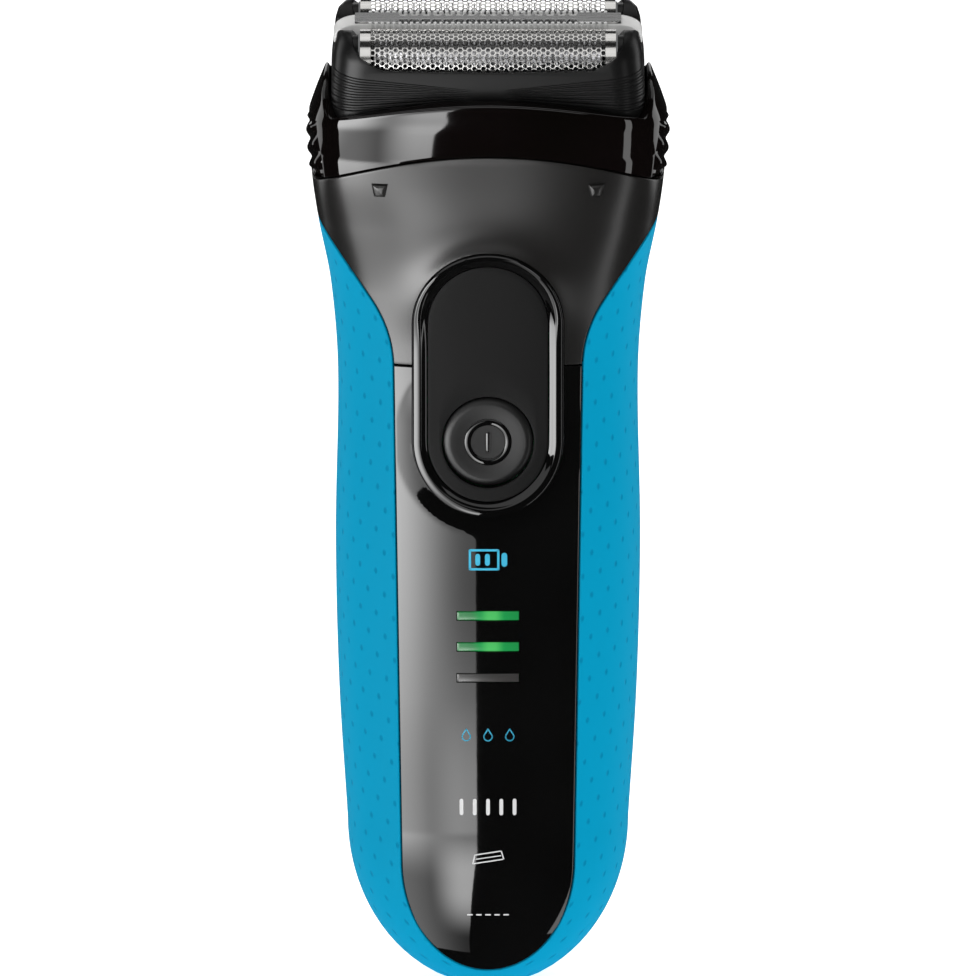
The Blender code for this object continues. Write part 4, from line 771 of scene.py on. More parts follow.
def dress(obj: bpy.types.Object, finish: Finish, body: str, replaces: Sequence[str] = (),
          angle: float = 38.0) -> bpy.types.Object:
    """Finish a piece: shading, material, body and the CAD nodes that it stands for.

    Args:
        obj: The piece.
        finish: Its finish.
        body: The CAD body that it rides on.
        replaces: CAD nodes that it stands for.
        angle: Edges sharper than this stay crisp.

    Returns:
        The piece.
    """
    smooth(obj, angle)
    obj.data.materials.clear()
    obj.data.materials.append(finish.material())
    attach(obj, body)
    if replaces:
        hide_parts(*replaces)
    LOG.info("%s: %d faces, on %s", obj.name, len(obj.data.polygons), body)
    return obj


# --- Handle form -----------------------------------------------------------------------

@dataclass(frozen=True)
class HandleForm:
    """The handle's one outer form, which every skin piece follows."""

    sections: tuple[tuple[float, float, float, float, float], ...] = (
        (27.0, 23.3, 15.0, 15.5, 2.4), (50.0, 24.7, 15.6, 16.8, 2.4), (75.0, 25.25, 15.6, 17.3, 2.4),
        (103.0, 24.85, 14.8, 16.6, 2.4), (118.0, 26.0, 14.9, 16.0, 2.6), (129.0, 28.1, 15.8, 15.8, 3.0),
        (137.0, 29.2, 16.6, 15.8, 3.4), (146.0, 29.7, 17.2, 15.8, 3.4), (149.0, 28.9, 17.1, 15.7, 3.4),
        (152.0, 27.8, 16.9, 15.4, 3.4), (155.3, 26.5, 16.4, 14.9, 3.4))
    foot_top: float = 27.0
    foot_radius: float = 28.1
    foot_power: float = 0.6
    lean_start: float = 141.0
    seam_top: float = 141.9
    seam_radius: float = 79.0
    panel_seam: float = 106.1
    panel_foot: float = 22.0
    panel_drop: float = 19.1
    panel_foot_half: float = 14.4
    panel_top_half: float = 15.7
    shoulder_start: float = 105.5
    shoulder_radius: float = 19.8
    shoulder_turn: float = math.radians(35.39)
    arch_drop: float = 2.2
    gap: float = 0.12
    switch_high: float = 113.1
    switch_radius: float = 12.5

    def section(self, z: float) -> tuple[float, ...]:
        """Half width, front depth, back depth and squareness at a height."""
        table = self.sections
        if z <= table[0][0]:
            return table[0][1:]
        if z >= table[-1][0]:
            return table[-1][1:]
        index = max(i for i in range(len(table) - 1) if table[i][0] <= z)
        before, start = table[max(index - 1, 0)], table[index]
        end, after = table[index + 1], table[min(index + 2, len(table) - 1)]
        step = end[0] - start[0]
        t = (z - start[0]) / step
        values = []
        for k in range(1, 5):
            slope_in = (end[k] - before[k]) / (end[0] - before[0]) * step
            slope_out = (after[k] - start[k]) / (after[0] - start[0]) * step
            values.append((2 * t ** 3 - 3 * t ** 2 + 1) * start[k] + (t ** 3 - 2 * t ** 2 + t) * slope_in
                          + (3 * t ** 2 - 2 * t ** 3) * end[k] + (t ** 3 - t ** 2) * slope_out)
        return tuple(values)

    def spread(self, z: float, inset: float = 0.0) -> tuple[float, float, float, float]:
        """Half width, front depth, back depth and squareness, with the foot's narrowing."""
        half, front, back, squareness = self.section(z)
        shrink = 1.0
        if z < self.foot_top:
            drop = (self.foot_top - z) / (self.foot_radius - inset)
            shrink = math.sqrt(max(1e-6, 1.0 - drop * drop))
        deep = shrink ** self.foot_power
        return (half - inset) * shrink, (front - inset) * deep, (back - inset) * deep, squareness

    def lean(self, z: float) -> float:
        """How far the head's lean moves a level, along Y."""
        return -math.tan(Head.tilt) * max(0.0, z - self.lean_start)

    def skin(self, theta: float, z: float, inset: float = 0.0) -> Vector:
        """Point of the skin at an angle round the handle; the front is at minus 90 degrees."""
        half, front, back, squareness = self.spread(z, inset)
        c, s = math.cos(theta), math.sin(theta)
        x = half * math.copysign(abs(c) ** (2 / squareness), c)
        y = (back if s > 0 else front) * math.copysign(abs(s) ** (2 / squareness), s)
        return Vector((x, y + self.lean(z), z))

    def face(self, x: float, z: float, side: Side, inset: float = 0.0) -> Vector:
        """Point of the skin in front of or behind a place in the XZ plane."""
        half, front, back, squareness = self.spread(z, inset)
        share = min(0.9999, abs(x) / half)
        depth = front if side is Side.FRONT else back
        y = side.value * depth * (1.0 - share ** squareness) ** (1.0 / squareness)
        return Vector((x, y + self.lean(z), z))

    def angle(self, x: float, z: float) -> float:
        """Angle from the side at which the skin is x wide; 0 at the side, 90 degrees at the middle."""
        half, _, _, squareness = self.spread(z)
        return math.acos(min(1.0, max(0.0, abs(x) / half)) ** (squareness / 2.0))

    def seam_height(self, x: float) -> float:
        """Height of the collar's seam at a distance from the middle."""
        return self.seam_top - self.seam_radius + math.sqrt(self.seam_radius ** 2 - x * x)

    def on_seam(self, theta: float, shift: float) -> float:
        """Height at which the skin meets the collar's seam, shifted up or down."""
        z = self.seam_top
        for _ in range(25):
            z = self.seam_height(self.skin(theta, z).x) + shift
        return z

    def shoulder(self, grow: float) -> list[tuple[float, float]]:
        """Shoulder line, as distance and height, from the panels' top corner to the silhouette."""
        radius = self.shoulder_radius - grow
        centre = self.panel_top_half + self.shoulder_radius
        line = []
        for i in range(61):
            turn = self.shoulder_turn * i / 60
            line.append((centre - radius * math.cos(turn), self.shoulder_start + radius * math.sin(turn)))
        x, z = line[-1]
        while x < self.spread(z)[0] - 0.002:
            step = min(0.25, 0.6 * (self.spread(z)[0] - x))
            x, z = x + step * math.sin(self.shoulder_turn), z + step * math.cos(self.shoulder_turn)
            line.append((min(x, self.spread(z)[0]), z))
        line[-1] = (self.spread(z)[0], z)
        return line

    def shoulder_parts(self, grow: float) -> tuple[list[tuple[float, float]], list[tuple[float, float]]]:
        """Shoulder line in two parts that each take rows of faces well.

        Args:
            grow: Shift of the line towards the grip.

        Returns:
            The flank as distance and height, then the arch over the side as angle and height.
        """
        line = self.shoulder(grow)
        bend = line[-1][1] - self.arch_drop
        flank = [item for item in line if item[1] <= bend]
        rest = [item for item in line if item[1] > bend]
        front = [(-self.angle(x, z), z) for x, z in [flank[-1]] + rest]
        return flank, front + [(-theta, z) for theta, z in reversed(front)][1:]

    def level(self, start: float, end: float, z: float, count: int) -> list[tuple[float, float]]:
        """Evenly spaced angles and heights along a level, from one angle to another."""
        keys = [(start + (end - start) * i / 160, z) for i in range(161)]
        return self.even(keys, count)

    def even(self, keys: Flat, count: int) -> list[tuple[float, float]]:
        """The same line of angles and heights, evenly spaced on the skin."""
        return resample([self.skin(*key) for key in keys], keys, count)

    def girth(self, theta: float, z: float) -> float:
        """Distance round the skin from the side to an angle."""
        points = [self.skin(theta * i / 18, z) for i in range(19)]
        return math.copysign(sum((b - a).length for a, b in zip(points, points[1:])), theta)

    def brow(self, x: float, z: float) -> float:
        """How far the upper housing swells round the top of the switch."""
        away = math.hypot(x, max(0.0, z - self.switch_high)) - self.switch_radius
        return 1.25 * math.exp(-((max(0.0, away) / 2.8) ** 1.3)) * eased(z, 109.0, 123.0)

    def dish(self, x: float, z: float) -> float:
        """Depth of the round dish under the switch in the front panel."""
        away = math.hypot(x, z - 93.7)
        return 0.62 * min(1.0, max(0.0, (15.8 - away) / 3.4))


@dataclass(frozen=True)
class Head:
    """The leaning frame that the cassette, foils and trimmer are drawn in."""

    origin: tuple[float, float, float] = (0.0, -1.0, 145.7)
    tilt = math.radians(10.5)

    def place(self, x: float, w: float, h: float) -> Vector:
        """A point given along the foils, front to rear, and up the lift direction."""
        c, s = math.cos(self.tilt), math.sin(self.tilt)
        return Vector((x, w * c - h * s, w * s + h * c)) + Vector(self.origin)

    def local(self, point: Vector) -> Vector:
        """Head coordinates of a point."""
        c, s = math.cos(self.tilt), math.sin(self.tilt)
        away = point - Vector(self.origin)
        return Vector((away.x, away.y * c + away.z * s, away.z * c - away.y * s))

    def matrix(self) -> Matrix:
        """The head frame in metres."""
        return Matrix.Translation(Vector(self.origin) * MM) @ Matrix.Rotation(self.tilt, 4, "X")

    def turn(self, obj: bpy.types.Object) -> bpy.types.Object:
        """Move a piece drawn in head coordinates into place."""
        obj.data.transform(self.matrix())
        return obj


FORM = HandleForm()
HEAD = Head()


# --- Handle skins ----------------------------------------------------------------------

@dataclass(frozen=True)
class Panels:
    """Front panel and back cover."""

    wall: float = 1.5
    edge: float = 0.16
    columns: int = 64
    rows: int = 190
    slot_gap: float = 0.12
    corner: float = math.radians(55.0)

    def border(self) -> tuple[list[tuple[float, float]], list[tuple[float, float]]]:
        """Lower edge from left to right, and right edge from foot to top, evenly spaced."""
        half = FORM.panel_foot_half - FORM.gap
        drop = FORM.panel_drop - FORM.gap

        def foot(angle: float) -> tuple[float, float]:
            return half * math.sin(angle), FORM.panel_foot - drop * math.cos(angle)

        low = [foot(self.corner * (i / 60 - 1.0)) for i in range(121)]
        side = [foot(self.corner + (math.pi / 2 - self.corner) * i / 40) for i in range(41)]
        side.append((FORM.panel_top_half - FORM.gap, FORM.panel_seam - FORM.gap))
        return (resample([Vector((*p, 0.0)) for p in low], low, self.columns + 1),
                resample([Vector((*p, 0.0)) for p in side], side, self.rows + 1))

    def sheet(self, name: str, side: Side, depth: Callable[[float, float], float]) -> bpy.types.Object:
        """The outside of a panel, ruled between its round foot, its sides and its straight top.

        Args:
            name: Name of the piece.
            side: The face that it lies on.
            depth: How far it's pressed in at a place.

        Returns:
            The surface.
        """
        low, right = self.border()
        (foot_x, foot_z), (top_x, top_z) = right[0], right[-1]
        grid: Grid = []
        for i, (x_side, z_side) in enumerate(right):
            t = i / self.rows
            row = []
            for j, (x_low, z_low) in enumerate(low):
                across = 2.0 * j / self.columns - 1.0
                x = (1 - t) * x_low + t * top_x * across + x_side * across - (foot_x + (top_x - foot_x) * t) * across
                z = (1 - t) * z_low + t * top_z + z_side - (foot_z + (top_z - foot_z) * t)
                point = FORM.face(x, z, side)
                point.y -= side.value * depth(x, z)
                row.append(point)
            grid.append(row)
        return grid_mesh(name, grid)

    def build(self) -> None:
        """Make both panels."""
        front = thicken(self.sheet("front_panel_shell", Side.FRONT, FORM.dish), self.wall, self.edge)
        cut(front, SwitchPlate().opening())
        for node in ("light_guide_upper", "light_guide_middle", "light_guide_lower"):
            low, high = box_mm(node)
            gap = Vector((self.slot_gap, 0.0, self.slot_gap))
            cut(front, block("slot", low - gap - Vector((0.0, 5.0, 0.0)), high + gap))
        dress(front, GLOSS_BLACK, "handle", ["front_panel"])
        back = thicken(self.sheet("back_cover_shell", Side.BACK, lambda x, z: 0.0), self.wall, self.edge)
        dress(back, SATIN_BACK, "handle", ["back_cover"])


@dataclass(frozen=True)
class GripJacket:
    """Soft dimpled grip that wraps both sides and the foot."""

    wall: float = 1.3
    edge: float = 0.2
    across: int = 84
    heel: int = 24
    split: float = 11.0
    foot_rows: int = 9
    rows: int = 150
    arch_from: float = 92.0
    inlet_half_length: float = 5.45
    inlet_half_width: float = 4.35

    def border(self) -> list[tuple[float, float]]:
        """Front edge above the split, as distance and height, evenly spaced."""
        flank, _ = FORM.shoulder_parts(FORM.gap)
        drop = FORM.panel_drop + FORM.gap
        start = math.acos((FORM.panel_foot - self.split) / drop)
        turns = [start + (math.pi / 2 - start) * i / 40 for i in range(41)]
        half = FORM.panel_foot_half + FORM.gap
        line = [(half * math.sin(a), FORM.panel_foot - drop * math.cos(a)) for a in turns]
        line += flank
        return resample([Vector((*p, 0.0)) for p in line], line, self.rows + 1)

    def upper_keys(self) -> list[list[tuple[float, float]]]:
        """Rows of angle and height from the split to the arch over the side."""
        _, arch = FORM.shoulder_parts(FORM.gap)
        arch = FORM.even(arch, self.across + 1)
        bend, bend_z = -arch[0][0], arch[0][1]
        rows = []
        for x, z in self.border():
            reach = FORM.angle(x, z)
            share = eased(z, self.arch_from, bend_z)
            level = FORM.level(-reach, reach, z, self.across + 1)
            rows.append([((1 - share) * a[0] + share * b[0] * reach / bend, z + share * (b[1] - bend_z))
                         for a, b in zip(level, arch)])
        return rows

    def foot_keys(self, split_row: Flat) -> list[list[tuple[float, float]]]:
        """Rows of angle and height from the flat base up to the split and the panels' feet."""
        drop = FORM.panel_drop + FORM.gap
        half = FORM.panel_foot_half + FORM.gap
        end = math.acos((FORM.panel_foot - self.split) / drop)
        toe = []
        for i in range(81):
            x, z = half * math.sin(end * i / 80), FORM.panel_foot - drop * math.cos(end * i / 80)
            toe.append((-FORM.angle(x, z), z))
        toe = FORM.even(toe, self.heel + 1)
        top = toe[:-1] + list(split_row) + [(-theta, z) for theta, z in reversed(toe)][1:]
        ring = FORM.level(-math.pi / 2, math.pi / 2, 0.0, len(top))
        return [[(a[0] + (b[0] - a[0]) * i / self.foot_rows, b[1] * i / self.foot_rows) for a, b in zip(ring, top)]
                for i in range(self.foot_rows + 1)]

    def base_rows(self, ring: Sequence[Vector]) -> Grid:
        """The flat base, from the inlet's hole out to the rounded foot."""
        reach = self.inlet_half_length - self.inlet_half_width
        hole = []
        for point in ring:
            centre = Vector((min(reach, max(0.0, point.x)), 0.0, 0.0))
            hole.append(centre + (point - centre).normalized() * self.inlet_half_width)
        hole[0].x = hole[-1].x = 0.0
        return [[a.lerp(b, share) for a, b in zip(hole, ring)] for share in (0.0, 0.22, 0.5, 0.78, 1.0)]

    def build(self) -> None:
        """Make the right half in two blocks, mirror it and join the halves at the foot."""
        upper = self.upper_keys()
        foot = self.foot_keys(upper[0])
        parts = [[[FORM.skin(*key) for key in row] for row in block_rows] for block_rows in (upper, foot)]
        parts.append(self.base_rows(parts[1][0]))
        sheets = [grid_mesh("grip_part", part, outward=lambda point: Vector((point.x, point.y, point.z - 18.0)))
                  for part in parts]
        jacket = weld(merge(sheets, "grip_jacket_shell"))
        mirror = jacket.modifiers.new("other_side", "MIRROR")
        mirror.use_mirror_merge = True
        mirror.merge_threshold = 0.005 * MM
        bake(jacket)
        self.unroll(jacket)
        thicken(jacket, self.wall, self.edge)
        dress(jacket, SOFT_GRIP, "handle", ["grip_jacket"])

    def unroll(self, obj: bpy.types.Object) -> None:
        """Map the grip by distance round it and height."""
        mesh = obj.data
        places = []
        for vertex in mesh.vertices:
            point = vertex.co / MM
            theta = math.copysign(FORM.angle(point.x, max(0.0, point.z)), point.y - FORM.lean(point.z))
            places.append((FORM.girth(theta, max(0.0, point.z)) / 100.0, point.z / 100.0))
        layer = mesh.uv_layers.new(name="UVMap")
        for loop in mesh.loops:
            layer.data[loop.index].uv = places[loop.vertex_index]


@dataclass(frozen=True)
class UpperHousing:
    """Satin shoulders between the panels, the grip and the collar."""

    wall: float = 1.6
    edge: float = 0.16
    across: int = 104
    side: int = 34
    low_rows: int = 44
    high_rows: int = 26
    mark_x: float = 17.9
    mark_z: float = 136.1

    def low_levels(self, flank: Flat) -> list[list[tuple[float, float]]]:
        """Levels of the front between the two shoulders, from the panel's seam to the arch."""
        foot = FORM.panel_seam + FORM.gap
        line = [(FORM.panel_top_half - FORM.gap, foot)] + [item for item in flank if item[1] > foot]
        line = resample([Vector((*p, 0.0)) for p in line], line, self.low_rows + 1)
        return [FORM.level(FORM.angle(x, z) - math.pi, -FORM.angle(x, z), z, self.across + 1) for x, z in line]

    def ring(self, front: Flat, arch: Flat) -> list[tuple[float, float]]:
        """Close a ring from its front part and its right-hand part."""
        back = [(-theta, z) for theta, z in reversed(front)]
        left = [(math.pi - theta, z) for theta, z in reversed(arch)]
        return list(front[:-1]) + list(arch[:-1]) + back[:-1] + left[:-1]

    def solid(self, keys: Sequence[Flat], closed: bool) -> bpy.types.Object:
        """A sheet through rows of angle and height, swollen round the switch."""
        grid: Grid = []
        for row in keys:
            points = [FORM.skin(*key) for key in row]
            for point in points:
                if point.y < 0.0:
                    point.y -= FORM.brow(point.x, point.z)
            grid.append(points)
        return grid_mesh("housing_part", grid, closed=closed)

    def build(self) -> None:
        """Make the housing from a ring and two tongues, with its two touch marks."""
        flank, arch = FORM.shoulder_parts(-FORM.gap)
        front = self.low_levels(flank)
        bend = -arch[0][0]
        low_ring = self.ring(front[-1], FORM.even(arch, self.side + 1))
        spans = ((bend - math.pi, -bend, self.across), (-bend, bend, self.side))
        tops = []
        for start, end, count in spans:
            thetas = [start + (end - start) * i / 160 for i in range(161)]
            tops.append(FORM.even([(theta, FORM.on_seam(theta, -FORM.gap)) for theta in thetas], count + 1))
        high_ring = self.ring(*tops)
        rows = [[(a[0] + (b[0] - a[0]) * i / self.high_rows, a[1] + (b[1] - a[1]) * i / self.high_rows)
                 for a, b in zip(low_ring, high_ring)] for i in range(self.high_rows + 1)]
        back = [[(-theta, z) for theta, z in reversed(row)] for row in front]
        sheets = [self.solid(rows, True), self.solid(front, False), self.solid(back, False)]
        housing = thicken(weld(merge(sheets, "upper_housing_shell")), self.wall, self.edge)
        cut(housing, SwitchPlate().opening())
        cut(housing, RearTrimmer().channel())
        dress(housing, SATIN_HOUSING, "handle", ["upper_housing"])
        for side, name in ((-1, "left"), (1, "right")):
            dress(self.mark(side, f"touch_mark_{name}"), SATIN_HOUSING, "handle")

    def mark(self, side: int, name: str) -> bpy.types.Object:
        """A small raised wedge that shows where to press the head's release."""
        rings: Grid = []
        for shrink, proud in ((1.0, -0.3), (1.0, 0.2), (0.8, 0.62), (0.35, 0.8)):
            ring = []
            for u, v in ((-1.35, 1.1), (1.35, 1.1), (0.9, -1.1), (-0.9, -1.1)):
                x, z = side * self.mark_x + u * shrink, self.mark_z + v * shrink
                point = FORM.face(x, z, Side.FRONT)
                ring.append(point + Vector((0.0, -proud, 0.0)))
            rings.append(ring)
        points = [point for ring in rings for point in ring]
        faces: list[Sequence[int]] = [(0, 1, 2, 3), (15, 14, 13, 12)]
        for i in range(3):
            for j in range(4):
                k = (j + 1) % 4
                faces.append((i * 4 + j, i * 4 + k, i * 4 + 4 + k, i * 4 + 4 + j))
        wedge = weld(raw_mesh(name, points, faces), True)
        add_bevel(wedge, 0.08, 2, 25.0)
        return bake(wedge)


@dataclass(frozen=True)
class HeadCollar:
    """Gloss collar that the cassette sits in."""

    columns: int = 300
    outer_rows: int = 26
    pocket_length: float = 26.2
    pocket_depth: float = 13.3
    pocket_corner: float = 6.8
    lip_height: float = 8.4
    lip_radius: float = 90.0
    wing_height: float = 9.3
    wing_radius: float = 17.0
    roll: float = 0.55
    foot_wall: float = 1.8

    def rim(self, x: float, w: float) -> float:
        """Height of the collar's rim above the head's origin, at a place on it."""
        lip = self.lip_height - self.lip_radius + math.sqrt(self.lip_radius ** 2 - min(abs(x), 29.0) ** 2)
        inner = min(abs(w), self.wing_radius - 0.5)
        wing = self.wing_height - self.wing_radius + math.sqrt(self.wing_radius ** 2 - inner * inner)
        share = eased(abs(x), 24.8, 27.6)
        return lip + (wing - lip) * share

    def on_rim(self, theta: float) -> float:
        """Height of the skin's point on the rim, at an angle round the handle."""
        z = 150.0
        for _ in range(30):
            spot = HEAD.local(FORM.skin(theta, z))
            z += 0.8 * (self.rim(spot.x, spot.y) - spot.z)
        return z

    def pocket_point(self, x: float, w: float) -> tuple[float, float]:
        """Nearest place on the pocket's outline."""
        length, depth = self.pocket_length - self.pocket_corner, self.pocket_depth - self.pocket_corner
        near = Vector((max(-length, min(length, x)), max(-depth, min(depth, w))))
        away = (Vector((x, w)) - near).normalized() * self.pocket_corner
        return near.x + away.x, near.y + away.y

    def column(self, theta: float) -> list[Vector]:
        """Closed section of the collar at an angle round the handle."""
        foot, top = FORM.on_seam(theta, FORM.gap), self.on_rim(theta)
        edge = FORM.skin(theta, top)
        spot = HEAD.local(edge)
        x_in, w_in = self.pocket_point(spot.x, spot.y)
        inner = HEAD.place(x_in, w_in, spot.z - 0.25)
        inward = (inner - edge).normalized()
        below = FORM.skin(theta, top - self.roll)
        points = [FORM.skin(theta, foot + 0.15)]
        for i in range(1, self.outer_rows):
            points.append(FORM.skin(theta, foot + 0.15 + (top - self.roll - foot - 0.15) * i / self.outer_rows))
        land = edge + inward * min(self.roll, 0.3 * (inner - edge).length)
        points += self.arc(below, edge, land)
        down = inner + (HEAD.place(0, 0, -0.3) - HEAD.place(0, 0, 0))
        points += self.arc(inner - inward * 0.3, inner, down)
        points += [HEAD.place(x_in, w_in, h) for h in (2.5, 0.0, -2.4)]
        points.append(FORM.skin(theta, foot, self.foot_wall))
        points.append(FORM.skin(theta, foot, 0.15))
        return points

    @staticmethod
    def arc(start: Vector, corner: Vector, end: Vector, steps: int = 4) -> list[Vector]:
        """Points of a smooth turn round a corner."""
        turn = []
        for i in range(steps + 1):
            t = i / steps
            turn.append(start * (1 - t) ** 2 + corner * 2 * t * (1 - t) + end * t * t)
        return turn

    def build(self) -> None:
        """Make the collar with its release windows and the trimmer's channel."""
        dense = [(2 * math.pi * k / 2400, 0.0) for k in range(2401)]
        angles = resample([FORM.skin(theta, 146.0) for theta, _ in dense], dense, self.columns + 1)[:-1]
        columns = [self.column(theta) for theta, _ in angles]
        grid = [[column[i] for column in columns] for i in range(len(columns[0]))]
        collar = grid_mesh("head_collar_shell", grid, closed=True, looped=True)
        cut(collar, RearTrimmer().channel())
        for side, name in ((-1, "left"), (1, "right")):
            window = ReleaseButtons().window(side, f"release_button_{name}")
            cut(collar, window)
        dress(collar, COLLAR_BLACK, "handle", ["head_collar"])


# --- Switch, lights and print ----------------------------------------------------------

@dataclass(frozen=True)
class SwitchPlate:
    """Bezel, pad and the round power button with its raised symbol."""

    radius: float = 12.5
    low: float = 93.5
    high: float = 113.1
    pad_radius: float = 9.95
    well_radius: float = 7.65
    steps: int = 56

    def opening(self) -> bpy.types.Object:
        """Cutter for the opening in the front skins."""
        outline = stadium(self.radius + 0.12, self.low, self.high, self.steps)
        return slab("opening", outline, -30.0, -6.0, lambda x, z, y: Vector((x, y, z)))

    def ring(self, radius: float, proud: float) -> list[Vector]:
        """One loop of the bezel, at a radius and a height over the handle's form."""
        loop = []
        straight = 14
        outline = stadium(radius, self.low, self.high, self.steps)
        half = self.steps + 1
        pieces = (outline[:half], outline[half:])
        for part, nxt in ((pieces[0], pieces[1]), (pieces[1], pieces[0])):
            loop += part
            (x_a, z_a), (x_b, z_b) = part[-1], nxt[0]
            loop += [(x_a + (x_b - x_a) * i / straight, z_a + (z_b - z_a) * i / straight) for i in range(1, straight)]
        rise = eased(radius, self.pad_radius + 0.1, self.radius - 0.4)
        return [FORM.face(x, z, Side.FRONT) - Vector((0.0, proud + rise * FORM.brow(x, z), 0.0)) for x, z in loop]

    def build_bezel(self) -> None:
        """Gloss ring with a flat crown and a chamfer down to the pad."""
        profile = ((12.5, -1.6), (12.5, 0.18), (12.46, 0.36), (12.33, 0.50), (12.1, 0.58), (11.7, 0.62),
                   (11.3, 0.60), (11.15, 0.55), (11.05, 0.46), (10.6, 0.22), (10.2, 0.03), (10.1, -0.08),
                   (10.08, -0.3), (10.08, -1.6))
        bezel = grid_mesh("switch_bezel_ring", [self.ring(*item) for item in profile], closed=True, looped=True)
        dress(bezel, GLOSS_BLACK, "handle", ["switch_bezel"], 30.0)

    def build_pad(self) -> None:
        """Matt pad with the button's round well."""
        grid: Grid = []
        profile = ((0.0, 0.06), (0.2, 0.06), (0.5, 0.06), (0.8, 0.05), (0.95, 0.03), (0.985, -0.02), (1.0, -0.12),
                   (1.0, -0.5), (1.0, -1.3))
        outline = stadium(1.0, 0.0, 0.0, self.steps)
        for share, proud in profile:
            row = []
            for index, (u, v) in enumerate(outline):
                centre = self.high if index <= self.steps else self.low
                inner_x, inner_z = u * self.well_radius, self.low + v * self.well_radius
                outer_x, outer_z = u * self.pad_radius, centre + v * self.pad_radius
                x, z = inner_x + (outer_x - inner_x) * share, inner_z + (outer_z - inner_z) * share
                row.append(FORM.face(x, z, Side.FRONT) + Vector((0.0, -proud, 0.0)))
            grid.append(row)
        well = []
        for proud in (-1.3, -0.5, -0.12, -0.02):
            well.append([FORM.face(p.x, p.z, Side.FRONT) + Vector((0.0, -proud, 0.0)) for p in
                         [Vector((u * self.well_radius, 0.0, self.low + v * self.well_radius)) for u, v in outline]])
        grid[0] = [FORM.face(p.x, p.z, Side.FRONT) + Vector((0.0, -0.06, 0.0)) for p in
                   [Vector((u * (self.well_radius + 0.15), 0.0, self.low + v * (self.well_radius + 0.15)))
                    for u, v in outline]]
        pad = grid_mesh("switch_pad_face", well + grid, closed=True, looped=True)
        dress(pad, PAD_BLACK, "handle", ["switch_pad"], 30.0)

    def build_button(self) -> None:
        """Dished button, a gloss ring and bar set in it."""
        face = FORM.face(0.0, self.low, Side.FRONT)
        axis = Vector((0.0, -1.0, 0.0))
        profile = ((0.0, -0.42), (1.5, -0.41), (2.7, -0.37), (2.82, -0.37), (2.9, -0.55), (3.86, -0.55),
                   (3.94, -0.33), (4.06, -0.32), (5.2, -0.24), (6.1, -0.16), (6.45, -0.17), (6.8, -0.28),
                   (7.2, -0.52), (7.4, -0.75), (7.45, -1.0), (7.45, -1.7), (0.0, -1.7))
        cap = turned("power_button_cap", profile, face, axis, 96)
        dress(cap, BUTTON_BLACK, "power_key", ["power_button"], 28.0)
        ring = turned("power_symbol_ring", ((2.92, -0.6), (2.92, -0.36), (3.05, -0.30), (3.38, -0.27), (3.7, -0.30),
                                            (3.84, -0.36), (3.84, -0.6), (2.92, -0.6)), face, axis, 96)
        dress(ring, GLOSS_BLACK, "power_key")
        symbol = block("power_symbol_bar", (-0.52, face.y + 0.30, self.low - 1.9),
                       (0.52, face.y + 0.8, self.low + 1.9))
        add_bevel(symbol, 0.5, 5, 50.0)
        symbol.modifiers[0].affect = "EDGES"
        dress(bake(symbol), GLOSS_BLACK, "power_key")

    def build(self) -> None:
        """Make every piece of the switch."""
        self.build_bezel()
        self.build_pad()
        self.build_button()


@dataclass(frozen=True)
class ChargeLights:
    """Three light guides flush with the gloss panel."""

    crown: float = 0.03

    def build(self) -> None:
        """Make the two lit guides and the unlit one."""
        for node, finish in (("light_guide_upper", GREEN_LIGHT), ("light_guide_middle", GREEN_LIGHT),
                             ("light_guide_lower", GREY_LIGHT)):
            low, high = box_mm(node)
            rows, columns = 6, 24
            grid: Grid = []
            for i in range(rows + 1):
                z = low.z + (high.z - low.z) * i / rows
                row = []
                for j in range(columns + 1):
                    x = low.x + (high.x - low.x) * j / columns
                    point = FORM.face(x, z, Side.FRONT)
                    point.y -= self.crown * (1.0 - (2.0 * i / rows - 1.0) ** 2) - 0.03
                    row.append(point)
                grid.append(row)
            guide = thicken(grid_mesh(f"{node}_lens", grid), 1.6, 0.06, 2)
            dress(guide, finish, "handle", [node])


